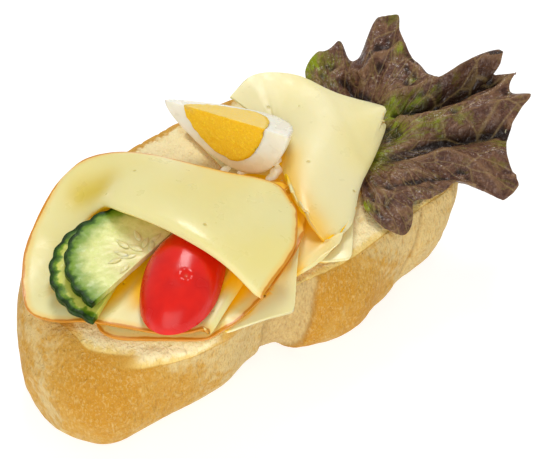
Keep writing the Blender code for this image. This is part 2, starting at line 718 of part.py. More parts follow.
# --- lettuce ------------------------------------------------------------------------------
def lettuce(finish):
    """Ruffled leaf: from the stem under the folded slice out to its lobed rim."""
    rim = curve_through(LEAF_OUTLINE, [2] * (len(LEAF_OUTLINE) - 1))
    stem = np.array(LEAF_STEM)
    shares = (0.1, 0.26, 0.42, 0.58, 0.74, 0.88, 1.0)
    fold_cover = np.array(list(FOLD_LINE) + list(FOLD_HIDDEN_EDGE)[::-1], float)
    rows = []
    for share in shares:
        row = []
        for index, edge in enumerate(rim):
            point = stem + (edge - stem) * share
            lift = share ** 1.9 if edge[2] > stem[2] else share ** 3.5
            wave = 1 + math.sin(math.pi * LEAF_RUFFLES * index / (len(rim) - 1))
            ruffle = LEAF_RUFFLE_HEIGHT * wave * math.sin(math.pi * min(share, 0.86))
            ruffle *= smoothstep(0, 9, signed_distance(fold_cover, point[:2]))
            point[2] = stem[2] + (edge[2] - stem[2]) * lift + ruffle * smoothstep(0.3, 0.6, share)
            beyond = max(0.0, signed_distance(TOP_EDGE, point[:2]) - 0.8)
            point[2] = max(point[2], LEAF_STEM[2] - 1.6 * beyond ** 1.3)
            row.append(point)
        rows.append(row)
    return sheet("lettuce_leaf", np.array(rows), LEAF_THICKNESS, finish)


# --- the whole sandwich -------------------------------------------------------------------
def build():
    """Make every piece in its place."""
    clear_scene()
    plain = material("plain_cheese", (0.93, 0.86, 0.58), 0.45)
    smoked = material("smoked_cheese", (0.93, 0.80, 0.42), 0.42)
    peel = material("cucumber", (0.45, 0.62, 0.22), 0.35)
    bread()
    flat_slice("plain_slice_under", UNDER_CORNERS, 3.0, plain, rings=2, spacing=9.0)
    lettuce(material("lettuce", (0.22, 0.12, 0.08), 0.5))
    folded_slice(plain)
    flat_slice("plain_slice_front", FRONT_CORNERS, 2.0, plain, rings=3, spacing=5.0)
    flat_slice("smoked_slice_under", RIND_SLICE_CORNERS, 9.5, smoked)
    pocket_slice(smoked)
    egg(material("egg_white", (0.93, 0.93, 0.88), 0.3), material("egg_yolk", (0.9, 0.62, 0.1), 0.6))
    half_disc("cucumber_back", (-42.0, -5.8, 5.0), CUCUMBER_BACK_RADIUS, (27, 14), (0.0, 0.0),
              ("smoked_slice_pocket",), peel)
    half_disc("cucumber_front", (-37.5, -9.2, 7.2), CUCUMBER_FRONT_RADIUS, (24, 5.4),
              (-0.035, 0.015), ("smoked_slice_pocket", "cucumber_back"), peel)
    tomato(material("tomato", (0.75, 0.05, 0.03), 0.12))


build()
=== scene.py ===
"""Open sandwich: looks for the packed frame of half a scored loaf with cheese, egg and salad.

Each solid of the frame gets a finished piece of the same size and place. Lengths in this file
are in millimetres where a name says so or where they are handed to a helper below, and in
metres in the properties, as Blender shows them.
"""

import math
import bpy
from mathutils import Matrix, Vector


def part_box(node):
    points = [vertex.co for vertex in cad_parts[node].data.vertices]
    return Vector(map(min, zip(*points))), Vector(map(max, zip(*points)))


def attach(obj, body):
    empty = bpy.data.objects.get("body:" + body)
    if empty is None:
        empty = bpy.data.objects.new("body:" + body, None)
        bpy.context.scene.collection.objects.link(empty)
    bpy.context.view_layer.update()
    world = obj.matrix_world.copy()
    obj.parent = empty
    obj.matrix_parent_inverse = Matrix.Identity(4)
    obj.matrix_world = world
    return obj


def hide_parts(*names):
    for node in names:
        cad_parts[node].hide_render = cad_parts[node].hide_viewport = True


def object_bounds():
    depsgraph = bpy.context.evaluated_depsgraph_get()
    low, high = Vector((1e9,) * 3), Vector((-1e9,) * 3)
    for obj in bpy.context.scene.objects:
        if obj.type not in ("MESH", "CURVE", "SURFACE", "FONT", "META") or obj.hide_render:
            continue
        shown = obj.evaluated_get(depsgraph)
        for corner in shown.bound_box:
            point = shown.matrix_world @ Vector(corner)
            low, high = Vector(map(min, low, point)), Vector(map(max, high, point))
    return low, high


bl_info = {
    "name": "Open sandwich",
    "version": (1, 0, 0),
    "blender": (4, 5, 0),
    "location": "3D View > Sidebar > Sandwich",
    "description": "Makes the bread, cheese, egg, cucumber, tomato and lettuce of a sandwich",
    "category": "Object",
}

import bpy
import numpy as np
from mathutils import Vector
from mathutils.bvhtree import BVHTree
from mathutils.kdtree import KDTree

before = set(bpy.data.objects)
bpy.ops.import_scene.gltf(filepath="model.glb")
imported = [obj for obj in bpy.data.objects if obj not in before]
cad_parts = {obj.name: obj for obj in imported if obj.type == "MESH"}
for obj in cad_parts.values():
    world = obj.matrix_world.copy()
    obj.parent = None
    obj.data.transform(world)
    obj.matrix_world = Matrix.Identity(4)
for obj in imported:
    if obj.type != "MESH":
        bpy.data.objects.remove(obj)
CAD_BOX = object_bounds()
BODY = "root"
MM = 0.001
MERGE_DISTANCE = 5e-6
# Edges whose faces meet at more than this are cut edges, not part of a round surface.
CUT_DEGREES = 50
RIM_STEP_MM = 0.4


# --- plain helpers ---
def seen(red, green, blue):
    """A colour given as 0 to 255 on a screen, as the linear colour that shaders use."""
    shares = [channel / 255 for channel in (red, green, blue)]
    return tuple(s / 12.92 if s <= 0.04045 else ((s + 0.055) / 1.055) ** 2.4 for s in shares)


def ramp(low, high, value):
    """0 below low, 1 above high, and a smooth ramp between."""
    share = np.clip((np.asarray(value, float) - low) / (high - low), 0, 1)
    return share * share * (3 - 2 * share)


def hill(distance, reach):
    """1 in the middle, falling smoothly to almost 0 past reach."""
    return np.exp(-(np.asarray(distance) / reach) ** 2)


def crest(distance, reach):
    """Like a hill, but with a sharp top."""
    away = np.abs(np.asarray(distance)) / reach
    return 0.5 * np.exp(-away ** 2) + 0.5 * np.exp(-1.8 * away)


LATTICE_SIZE = 32
LATTICE = np.random.default_rng(11).uniform(-1, 1, (LATTICE_SIZE,) * 3)
SEED_OFFSET = 7.31


def lumps(points, size, seed=0):
    """Soft random values from -1 to 1 at points, which change over the given size."""
    place = np.asarray(points, float) / size + seed * SEED_OFFSET
    low = np.floor(place).astype(int)
    part = place - low
    part = part * part * (3 - 2 * part)
    total = np.zeros(len(place))
    for corner in np.ndindex(2, 2, 2):
        weight = np.prod(np.where(corner, part, 1 - part), axis=1)
        total += weight * LATTICE[tuple(((low + corner) % LATTICE_SIZE).T)]
    return total


def ridges(points, size, seed=0):
    """Random values up to 1 with sharp crests, which change over the given size."""
    return 1 - 2 * np.abs(lumps(points, size, seed))


def along_line(points, line):
    """Distance of flat points from a line of corners, share of the way along it, and side."""
    corners = np.asarray(line, float)
    steps = np.diff(corners, axis=0)
    lengths = np.linalg.norm(steps, axis=1)
    starts = np.concatenate([[0], np.cumsum(lengths)])
    best = np.full(len(points), np.inf)
    share, side = np.zeros((2, len(points)))
    for corner, step, length, start in zip(corners, steps, lengths, starts):
        offset = points[:, :2] - corner
        part = np.clip(offset @ step / length ** 2, 0, 1)
        gap = offset - part[:, None] * step
        distance = np.linalg.norm(gap, axis=1)
        closer = distance < best
        best = np.where(closer, distance, best)
        share = np.where(closer, (start + part * length) / starts[-1], share)
        side = np.where(closer, np.sign(step[0] * gap[:, 1] - step[1] * gap[:, 0]), side)
    return best, share, side


def near_line(points, line, reach):
    """1 on a line seen from above, falling smoothly to almost 0 past reach."""
    return hill(along_line(points, line)[0], reach)


def near_spot(points, spot, reach):
    """1 at a spot seen from above, falling smoothly to almost 0 past reach."""
    return hill(np.linalg.norm(points[:, :2] - spot, axis=1), reach)


def strongest(near, points, marks):
    """The most that any mark gives at each point. A mark is a place, a reach and a strength."""
    return np.max([strength * near(points, place, reach) for place, reach, strength in marks],
                  axis=0)


# --- working on a piece ---
def only(piece):
    """Deselect everything, then select one piece and make it the active one."""
    if bpy.context.object and bpy.context.object.mode != "OBJECT":
        bpy.ops.object.mode_set(mode="OBJECT")
    bpy.ops.object.select_all(action="DESELECT")
    piece.select_set(True)
    bpy.context.view_layer.objects.active = piece


def begin_edit(piece, kind="VERT", action="SELECT"):
    """Edit mode on one piece, with everything or nothing selected."""
    only(piece)
    bpy.ops.object.mode_set(mode="EDIT")
    bpy.ops.mesh.select_mode(type=kind)
    bpy.ops.mesh.select_all(action=action)


def end_edit():
    """Back to object mode."""
    bpy.ops.object.mode_set(mode="OBJECT")


def modify(piece, kind, **settings):
    """Add one modifier with these settings and apply it."""
    only(piece)
    bpy.ops.object.modifier_add(type=kind)
    added = piece.modifiers[-1]
    for name, value in settings.items():
        setattr(added, name, value)
    bpy.ops.object.modifier_apply(modifier=added.name)


def subdivide(piece, levels):
    """Smooth the piece with a Subdivision Surface."""
    modify(piece, "SUBSURF", levels=levels, render_levels=levels)


def numbers_of(items, field, kind=float, width=3):
    """One field of all vertices or edges, as rows of numbers."""
    flat = np.zeros(len(items) * width, kind)
    items.foreach_get(field, flat)
    return flat.reshape(-1, width)


def points_of(piece):
    """The piece's vertices in millimetres."""
    return numbers_of(piece.data.vertices, "co") / MM


def normals_of(piece):
    """The direction that each vertex faces."""
    return numbers_of(piece.data.vertices, "normal")


def move_points(piece, points):
    """Put the vertices at new places, in millimetres."""
    piece.data.vertices.foreach_set("co", (np.asarray(points) * MM).ravel())
    piece.data.update()


def push_points(piece, points, move):
    """Put the vertices at new places, each moved on the way that it faces."""
    move_points(piece, points + normals_of(piece) * move[:, None])


def store(piece, **fields):
    """Keep numbers for each vertex under these names, for materials to read."""
    for name, values in fields.items():
        layer = piece.data.attributes.new(name, "FLOAT", "POINT")
        layer.data.foreach_set("value", np.asarray(values, np.float32))


def edge_ends(piece):
    """Index pairs of the vertices at the ends of every edge."""
    return numbers_of(piece.data.edges, "vertices", np.int32, 2)


def border_places(piece, points, values):
    """Middles of the edges across which the values pass one half."""
    ends = edge_ends(piece)
    above = values[ends] > 0.5
    return points[ends[above[:, 0] != above[:, 1]]].mean(axis=1)


def top_of(node):
    """Height of the top of a solid, in millimetres."""
    return (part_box(node)[1] / MM).z


def distance_from(places, points):
    """How far each point is from the nearest place."""
    tree = KDTree(len(places))
    for index, place in enumerate(places):
        tree.insert(place, index)
    tree.balance()
    return np.array([tree.find(point)[2] for point in points])


def standing_out(piece, rounds):
    """How far each vertex stands out from those around it, in millimetres."""
    points = points_of(piece)
    ends = edge_ends(piece)
    both, other = np.concatenate([ends, ends[:, ::-1]]).T
    number = np.bincount(both, minlength=len(points))
    level = points.copy()
    for _ in range(rounds):
        level = np.column_stack([np.bincount(both, level[other, axis], len(points)) / number
                                 for axis in range(3)])
    return np.einsum("ij,ij->i", points - level, normals_of(piece))


def copy_of_solid(node, name):
    """A piece that starts as a solid of the frame, merged and with four-sided faces."""
    piece = bpy.data.objects.new(name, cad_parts[node].data.copy())
    bpy.context.scene.collection.objects.link(piece)
    begin_edit(piece)
    bpy.ops.mesh.customdata_custom_splitnormals_clear()
    bpy.ops.mesh.remove_doubles(threshold=MERGE_DISTANCE)
    angle = math.radians(CUT_DEGREES)
    bpy.ops.mesh.tris_convert_to_quads(face_threshold=angle, shape_threshold=angle)
    end_edit()
    return piece


def sharp_edges(piece):
    """Index pairs of the cut edges."""
    faces_at = {}
    for face in piece.data.polygons:
        for key in face.edge_keys:
            faces_at.setdefault(key, []).append(face.normal)
    limit = math.cos(math.radians(CUT_DEGREES))
    return {key for key, both in faces_at.items()
            if len(both) == 2 and both[0].dot(both[1]) < limit}


def rim_line(piece, thickness_mm):
    """Closely spaced points half way up the piece's cut rim."""
    points = points_of(piece)
    sharp = sharp_edges(piece)
    found = []
    for face in piece.data.polygons:
        edges = face.edge_keys
        for rungs, rails in ((edges[::2], edges[1::2]), (edges[1::2], edges[::2])):
            if len(edges) != 4 or not sharp.issuperset(rails):
                continue
            ends = points[np.array(rungs)]
            if np.linalg.norm(ends[:, 0] - ends[:, 1], axis=1).max() > 1.5 * thickness_mm:
                continue
            start, end = ends.mean(axis=1)
            steps = max(2, int(np.linalg.norm(end - start) / RIM_STEP_MM))
            found += [start + (end - start) * step / steps for step in range(steps)]
    return found


def select_sharp(piece, degrees):
    """Edit mode with the edges selected that are sharper than an angle."""
    begin_edit(piece, "EDGE", "DESELECT")
    bpy.ops.mesh.edges_select_sharp(sharpness=math.radians(degrees))


def round_edges(piece, width_mm):
    """Bevel the cut edges."""
    select_sharp(piece, CUT_DEGREES)
    bpy.ops.mesh.bevel(offset=width_mm * MM, segments=2, affect="EDGES")
    end_edit()


def crease_edges(piece, degrees, strength):
    """Keep the edges that are sharper than an angle crisp when the piece is subdivided."""
    select_sharp(piece, degrees)
    bpy.ops.transform.edge_crease(value=strength)
    end_edit()


def join_copies(first, name, shapes):
    """Give a piece and copies of it one set of points each, and join them all."""
    first.name = name
    pieces = [first]
    for _ in shapes[1:]:
        extra = first.copy()
        extra.data = first.data.copy()
        bpy.context.scene.collection.objects.link(extra)
        pieces.append(extra)
    only(first)
    for piece, points in zip(pieces, shapes):
        move_points(piece, points)
        piece.select_set(True)
    bpy.ops.object.join()


def finish_piece(piece, nodes, material):
    """Give the piece its material and shading, and tie it to the frame."""
    piece.data.materials.clear()
    piece.data.materials.append(material)
    only(piece)
    bpy.ops.object.shade_smooth()
    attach(piece, BODY)
    if nodes:
        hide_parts(*nodes)


# --- building materials ---
class Finish:
    """Builds the shader of one material: colours laid over one another, and bumps added up."""

    def __init__(self, name, colour):
        self.material = bpy.data.materials.new(name)
        self.material.use_nodes = True
        self.tree = self.material.node_tree
        self.place = self.add("ShaderNodeTexCoord", "Object", {})
        self.colour = colour
        self.normal = None

    def feed(self, socket, value):
        """Set a socket to a value, or link it to a node's output or to a stored number."""
        if isinstance(value, str):
            value = self.stored(value)
        if isinstance(value, bpy.types.NodeSocket):
            self.tree.links.new(value, socket)
        else:
            socket.default_value = value

    def add(self, kind, output, inputs, **settings):
        """One output of a new node with these inputs and settings."""
        node = self.tree.nodes.new(kind)
        for name, value in settings.items():
            setattr(node, name, value)
        for name, value in inputs.items():
            self.feed(node.inputs[name], value)
        return node.outputs[output]

    def stored(self, name):
        """A number that was kept for each vertex. Its name alone can stand for it."""
        return self.add("ShaderNodeAttribute", "Fac", {}, attribute_name=name)

    def stretched(self, scale, turn):
        """The piece's own coordinates, turned by degrees and stretched."""
        turn = [math.radians(part) for part in turn]
        return self.add("ShaderNodeMapping", "Vector",
                        {"Vector": self.place, "Rotation": turn, "Scale": scale})

    def noise(self, size_mm, detail=3.0, rough=0.55, place=None, warp=0.0):
        """Cloudy pattern from 0 to 1 whose lumps are about one size."""
        return self.add("ShaderNodeTexNoise", "Fac",
                        {"Vector": place or self.place, "Scale": 1 / (size_mm * MM),
                         "Detail": detail, "Roughness": rough, "Distortion": warp})

    def cells(self, size_mm, place=None, feature="F1"):
        """Distance pattern of scattered cells of one size."""
        return self.add("ShaderNodeTexVoronoi", "Distance",
                        {"Vector": place or self.place, "Scale": 1 / (size_mm * MM)},
                        feature=feature)

    def between(self, value, low, high, start=0.0, end=1.0):
        """A smooth ramp from start to end as value goes from low to high."""
        return self.add("ShaderNodeMapRange", "Result",
                        {"Value": value, "From Min": low, "From Max": high,
                         "To Min": start, "To Max": end}, interpolation_type="SMOOTHSTEP")

    def times(self, first, second):
        """A product, kept between 0 and 1."""
        return self.add("ShaderNodeMath", "Value", {0: first, 1: second},
                        operation="MULTIPLY", use_clamp=True)

    def plus(self, first, second, clamp=True):
        """A sum, kept between 0 and 1 unless told otherwise."""
        return self.add("ShaderNodeMath", "Value", {0: first, 1: second},
                        operation="ADD", use_clamp=clamp)

    def blend(self, share, first, second):
        """The first colour, going over to the second as share goes to 1."""
        ends = [end if isinstance(end, bpy.types.NodeSocket) else (*end, 1)
                for end in (first, second)]
        return self.add("ShaderNodeMix", 2, {"Factor": share, 6: ends[0], 7: ends[1]},
                        data_type="RGBA")

    def paint(self, colour, share, low=None, high=None, most=1.0):
        """Lay a colour over those so far, by a share or where a value goes from low to high."""
        if low is not None:
            share = self.between(share, low, high, 0.0, most)
        elif most < 1:
            share = self.times(share, most)
        self.colour = self.blend(share, self.colour, colour)

    def bump(self, height, depth_mm):
        """Raise a bump of a depth on top of those so far."""
        inputs = {"Strength": 1.0, "Distance": depth_mm * MM, "Height": height}
        if self.normal is not None:
            inputs["Normal"] = self.normal
        self.normal = self.add("ShaderNodeBump", "Normal", inputs)

    def done(self, soft=None, **values):
        """Hand over the material. Soft is the weight, radius and scale of light inside it.

        The other values are inputs of the surface, where an underscore stands for a space.
        """
        if soft:
            values["Subsurface_Weight"], values["Subsurface_Radius"], scale_mm = soft
            values["Subsurface_Scale"] = scale_mm * MM
        if self.normal is not None:
            values["Normal"] = self.normal
        linked = isinstance(self.colour, bpy.types.NodeSocket)
        values["Base_Color"] = self.colour if linked else (*self.colour, 1)
        surface = self.tree.nodes["Principled BSDF"]
        for name, value in values.items():
            self.feed(surface.inputs[name.replace("_", " ")], value)
        return self.material


def a_colour(name, description, colour):
    """A colour that the user can change."""
    return bpy.props.FloatVectorProperty(name=name, description=description, default=colour,
                                         subtype="COLOR", size=3, min=0, max=1)


def a_number(name, description, value, **kind):
    """A number that the user can change."""
    return bpy.props.FloatProperty(name=name, description=description, default=value, **kind)


def a_length(name, description, millimetres):
    """A length that the user can change."""
    return a_number(name, description, millimetres * MM, min=0, subtype="DISTANCE",
                    unit="LENGTH", precision=5)


def a_share(name, description, share):
    """A number from 0 to 1 that the user can change."""
    return a_number(name, description, share, min=0, max=1, subtype="FACTOR")


def a_power(name, description, watts):
    """The power of a light that the user can change."""
    return a_number(name, description, watts, min=0, subtype="POWER", unit="POWER")


# --- bread ---
class SandwichBread(bpy.types.PropertyGroup):
    """Sizes and colours of the bread."""

    grain: a_length("Mesh grain", "Size of the faces that the crust is shaped from", 0.88)
    lumps_height: a_length("Lumps", "How far the crust rises and falls", 0.55)
    pore_depth: a_length("Pore depth", "How deep the holes in the crumb are", 0.7)
    golden: a_colour("Golden crust", "Crust where it browned most", seen(194, 136, 24))
    tan: a_colour("Tan crust", "Crust between the browned places", seen(198, 148, 54))
    pale: a_colour("Pale crust", "Crust that stayed light", seen(211, 182, 118))
    crumb: a_colour("Crumb", "The cut face", seen(247, 230, 178))
    rim: a_colour("Rim", "The crumb just inside the crust", seen(232, 200, 118))
    torn: a_colour("Torn", "The band that opened beside the score", seen(190, 156, 98))


# Places on the crust that browned: centre, reach along and across, and strength.
BROWNED = (
    ((-71, -26, 30), (15, 14, 21), 1.0),
    ((-57, -34, 20), (16, 12, 14), 0.55),
    ((12, -47, 34), (13, 12, 17), 0.9),
    ((4, -43, 18), (8, 9, 14), 0.7),
    ((26, -51, 22), (17, 12, 15), 0.8),
    ((-80, 6, 18), (12, 14, 16), 0.35),
    ((-58, 38, 31), (28, 16, 10), 0.75),
    ((-38, 44, 20), (15, 14, 15), 0.55),
    ((2, 51, 24), (19, 14, 18), 0.85),
    ((30, 50, 34), (24, 14, 8), 0.6),
    ((70, 40, 24), (15, 14, 17), 0.8),
    ((88, -2, 31), (12, 28, 9), 0.6),
)
SCORE_LEFT_X = -10.3
SCORE_RIGHT_X = 1.2
SCORE_LEAN = 0.135
CRUST_OVER_X = -68.3


def lean_walls(points):
    """Draw the near wall in at its foot and out at its top, lobe by lobe."""
    x, y, z = points.T
    near = ramp(-12, -36, y)
    foot = ramp(34, 6, z)
    out = 2.6 * hill(x - 82, 15) * ramp(18, 40, z) * ramp(-8, -30, y)
    out += near * foot * (0.8 * hill(x - 40, 6) - 4.6 * hill(x - 60, 13) - 2.0 * hill(x - 20, 14))
    out -= 1.4 * near * foot * hill(x + 36, 14)
    left = 3.0 * hill(y + 8, 16) * ramp(-70, -84, x) * hill(z - 14, 15)
    moved = points + np.column_stack([0.3 * out - left, -0.95 * out + 0.3 * left, z * 0])
    low, high = (np.array(corner) / MM for corner in CAD_BOX)
    return np.clip(moved, low, high)


def shape_bread(piece, look):
    """Lumpy crust, a torn band beside the near score, and a porous cut face."""
    points = points_of(piece)
    facing = normals_of(piece)
    x, y, z = points.T
    cut = ramp(0.55, 0.9, facing[:, 2]) * ramp(41, 43.5, z)
    near_rim = hill(x + 50, 17) * hill(y + 38, 9)
    cut = np.maximum(cut, near_rim ** 0.5 * ramp(37.8, 39.6, z + lumps(points, 6, 3)))
    cut *= ramp(36, 38, z)
    cut *= ramp(-1.0, 0.8, x - CRUST_OVER_X + 0.8 * lumps(points, 5, 14))
    wall = (1 - cut) * ramp(0, 6, z)
    low = look.lumps_height / MM
    move = low * lumps(points, 24, 1) + 0.5 * low * lumps(points, 9, 2)
    move += 0.16 * lumps(points, 3.4, 4) + 0.07 * lumps(points, 1.7, 5)
    move *= wall
    from_left = x - SCORE_LEFT_X
    from_right = SCORE_RIGHT_X + SCORE_LEAN * (z - 6) - x
    near = ramp(-24, -30, y)
    torn = ramp(-0.4, 0.6, from_left) * ramp(-0.5, 0.7, from_right) * near * wall
    strands = np.sin(2 * math.pi * (0.64 * z + 0.77 * x) / 1.9 + 2.2 * lumps(points, 5, 6))
    move += torn * (0.2 * strands * lumps(points, 3, 7) - 0.7)
    move += 0.6 * near * wall * ramp(0.4, -0.6, from_right) * ramp(-9, -1, from_right)
    move -= 1.5 * torn * ramp(4.5, 0.4, from_left)
    move += 0.7 * near * wall * ramp(0.5, -0.8, from_left) * ramp(-8, -1, from_left)
    second = x - (50 + 0.3 * (z - 20) + 0.8 * lumps(points, 9, 15))
    move -= 1.0 * near * wall * crest(second, 1.2)
    third = x - (70 + 0.2 * (z - 20) + 0.8 * lumps(points, 9, 16))
    move -= 0.6 * near * wall * crest(third, 1.4)
    pores = ramp(0.42, 0.8, lumps(points, 2.6, 8)) + 0.7 * ramp(0.5, 0.9, lumps(points, 1.5, 9))
    move -= cut * (look.pore_depth / MM * pores + 0.25 * lumps(points, 7, 10))
    move *= 1 - ramp(0.2, 0.0, z)
    move_points(piece, lean_walls(points + facing * move[:, None]))
    brown = np.max([strength * hill(np.linalg.norm((points - centre) / reach, axis=1), 1.0)
                    for centre, reach, strength in BROWNED], axis=0)
    brown += 0.11 * ramp(-10, -60, x)
    brown += 0.2 * lumps(points, 12, 12) + 0.08 * lumps(points, 4, 13)
    brown += 0.5 * near * wall * hill(from_right + 1.5, 2.5) * ramp(0.5, -0.3, from_right)
    # Dark lines along the score's edges and the creases of the near wall, painted as shade in
    # those grooves.
    lines = np.max([hill(from_left - 0.5, 0.8), 0.6 * hill(from_right + 0.2, 0.7),
                    0.7 * hill(second, 0.8), 0.6 * hill(third, 0.8)], axis=0)
    store(piece, cut=cut, torn=torn, browned=np.clip(brown * (1 - 0.9 * torn), 0, 1),
          hollow=np.clip(pores * cut, 0, 1), lines=lines * near * wall,
          from_edge=distance_from(border_places(piece, points, cut), points),
          rear=ramp(-4, 10, y) + ramp(-44, -64, x) * ramp(-16, -4, y))


def bread_finish(look):
    """Matt crust from cream to gold with fine specks, and a light porous crumb."""
    made = Finish("bread", look.pale)
    mottled = made.noise(3.2, 5, 0.7)
    fine = made.noise(0.8, 3)
    shade = made.plus("browned", made.between(mottled, 0.3, 0.7, -0.2, 0.2))
    streaks = made.noise(2.6, 5, 0.7, made.stretched((1.6, 1.6, 0.4), (24, 0, 30)), 0.6)
    strands = made.noise(1.5, 3, 0.6, made.stretched((2.6, 0.6, 0.6), (0, 40, 0)), 0.4)
    marks = made.noise(1.3, 1, 0.5, made.stretched((1.6, 1.6, 0.5), (14, 0, 24)), 0.6)
    made.paint(look.tan, shade, 0.0, 0.36)
    made.paint(look.golden, shade, 0.3, 0.85)
    made.paint(look.pale, fine, 0.5, 0.7, 0.45)
    made.paint(seen(180, 124, 48), fine, 0.48, 0.3, 0.4)
    made.paint(look.pale, streaks, 0.55, 0.72, 0.45)
    torn = made.blend(made.between(strands, 0.3, 0.7), look.torn, look.pale)
    made.paint(torn, "torn")
    # Painted shade along the score's edges and creases.
    made.paint(seen(150, 108, 50), "lines", most=0.6)
    made.paint(seen(236, 206, 138), marks, 0.55, 0.75, 0.26)
    made.paint(seen(176, 118, 34), marks, 0.42, 0.26, 0.34)
    made.paint(seen(120, 78, 34), made.cells(3.1), 0.10, 0.04, 0.5)
    crust, made.colour = made.colour, look.crumb
    creamy = made.blend(made.between(made.noise(3.0, 4), 0.35, 0.7), look.crumb, look.rim)
    made.paint(creamy, made.noise(5.0), 0.4, 0.7, 0.4)
    # Painted shade in the crumb's pores.
    made.paint(seen(216, 180, 104), "hollow", most=0.45)
    ragged = made.between(made.noise(2.0, 3), 0.25, 0.75, -1.0, 1.0)
    inside = made.plus("from_edge", ragged, clamp=False)
    made.paint(look.rim, inside, 3.6, 0.5)
    skin = made.times(made.between(inside, 3.6, 1.8), "rear")
    made.paint(seen(208, 156, 66), skin)
    crumb, made.colour = made.colour, crust
    made.paint(look.tan, "cut", 0.15, 0.5)
    made.paint(crumb, "cut", 0.4, 0.8)
    made.bump(made.noise(6.0, 2, 0.5), 1.4)
    made.bump(made.noise(2.0, 1, 0.5), 0.5)
    made.bump(marks, 0.5)
    return made.done((0.12, (1.0, 0.6, 0.3), 2), Specular_IOR_Level=0.3,
                     Roughness=made.between(mottled, 0.3, 0.7, 0.62, 0.85))


class SANDWICH_OT_bread(bpy.types.Operator):
    """Make the bread: its lumpy crust, its torn score and its porous cut face"""

    bl_idname = "sandwich.bread"
    bl_label = "Bread"

    def execute(self, context):
        look = context.scene.sandwich_bread
        piece = copy_of_solid("bread", "scored_loaf_half")
        crease_edges(piece, CUT_DEGREES, 0.75)
        subdivide(piece, 2)
        modify(piece, "REMESH", mode="VOXEL", voxel_size=look.grain)
        modify(piece, "SMOOTH", factor=0.5, iterations=6)
        shape_bread(piece, look)
        finish_piece(piece, ("bread",), bread_finish(look))
        return {"FINISHED"}


# --- cheese ---
class SandwichCheese(bpy.types.PropertyGroup):
    """Sizes and colours of the cheese slices."""

    edge_rounding: a_length("Edge rounding", "Bevel of the cut edges", 0.45)
    rim_thinning: a_length("Rim thinning", "How much thinner a slice is at its rim", 0.8)
    unevenness: a_length("Unevenness", "How far a slice rises and falls", 0.18)
    plain: a_colour("Plain cheese", "Slices without rind", seen(233, 223, 170))
    plain_warm: a_colour("Plain cheese, warm", "Its warmer places", seen(233, 220, 152))
    rinded: a_colour("Rinded cheese", "Slices with a rind", seen(231, 222, 158))
    rinded_warm: a_colour("Rinded cheese, warm", "Its warmer places", seen(231, 218, 140))
    # Gold painted as shade into the folds and sheltered places of the slices.
    painted_shade: a_colour("Deep cheese", "Cheese in folds and shade", seen(238, 184, 0))
    # Strength of a painted gold glow in sheltered places, standing in for light that comes
    # through the slices.
    glow: a_share("Glow", "Light that comes through the slices into the folds", 0.12)
    rind: a_colour("Rind", "The thin smoked skin", seen(204, 130, 8))
    rind_glow: a_colour("Under the rind", "The cheese just inside it", seen(238, 190, 84))


SLICE_MM = 2.0
SHELTER_REACH_MM = 26.0
SHELTER_RAYS = 24
# Where the pocket slice dips beside its fold, and is painted darker there as painted shade: the
# line of the dip, its reach and its depth.
DIP_LINE = ((-33.0, 30.5), (-29.5, 26.5))
DIP_REACH_MM = 6.5
DIP_DEPTH_MM = 2.2
# Where a gold glow is painted along the folded slice, standing in for light that comes through it
# from the cheese below.
PAINTED_GLOW_RIM = ((29.0, -3.0), (18.7, -17.2), (14.9, -26.3), (13.5, -36.4))
PAINTED_GLOW_REACH_MM = 5.5


def sky_directions(count):
    """Directions spread over the upper half of a ball, denser towards its top."""
    index = np.arange(count) + 0.5
    high = np.sqrt(1 - index / count)
    turn = math.pi * (1 + 5 ** 0.5) * index
    flat = np.sqrt(1 - high ** 2)
    return [Vector(way) for way in zip(flat * np.cos(turn), flat * np.sin(turn), high)]


def frame_tree():
    """All solids of the frame as one tree that rays can be cast at."""
    corners, faces = [], []
    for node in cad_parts.values():
        start = len(corners)
        corners += [vertex.co[:] for vertex in node.data.vertices]
        faces += [[start + index for index in face.vertices] for face in node.data.polygons]
    return BVHTree.FromPolygons(corners, faces)


def measure_shelter(piece, tree):
    """Keep for each vertex the share of its sky that other food hides."""
    sky = sky_directions(SHELTER_RAYS)
    values = []
    for vertex in piece.data.vertices:
        start = vertex.co + vertex.normal * 0.25 * MM
        turn = vertex.normal.to_track_quat("Z", "Y")
        hits = [tree.ray_cast(start, turn @ way, SHELTER_REACH_MM * MM)[0] for way in sky]
        values.append(sum(hit is not None for hit in hits) / SHELTER_RAYS)
    # The share is used to paint shade and glow into the cheese.
    store(piece, sheltered=values)


def cheese_piece(node, name, look, tree):
    """A slice from its solid: softly rounded edges, slightly uneven, with its rim measured."""
    piece = copy_of_solid(node, name)
    rim = rim_line(piece, SLICE_MM)
    measure_shelter(piece, tree)
    round_edges(piece, look.edge_rounding / MM)
    subdivide(piece, 2)
    points = points_of(piece)
    from_rim = distance_from(rim, points)
    facing = normals_of(piece)
    low = look.unevenness / MM
    move = low * lumps(points, 17, 1) + 0.25 * low * lumps(points, 6, 2)
    move += 0.08 * hill(from_rim, 1.2) * lumps(points, 2.2, 3)
    upper = ramp(-0.2, 0.4, facing[:, 2])
    if node == "smoked_slice_pocket":
        dip = near_line(points, DIP_LINE, DIP_REACH_MM)
        points[:, 2] -= DIP_DEPTH_MM * dip * upper
        store(piece, dip=dip)
    if node == "plain_slice_folded":
        store(piece, glowing=near_line(points, PAINTED_GLOW_RIM, PAINTED_GLOW_REACH_MM) * upper)
    under = ramp(0.2, -0.4, facing[:, 2])
    thin = look.rim_thinning / MM * ramp(3.4, 0.9, from_rim)
    push_points(piece, points, move - thin * (0.25 + 0.75 * under))
    store(piece, from_rim=from_rim)
    return piece


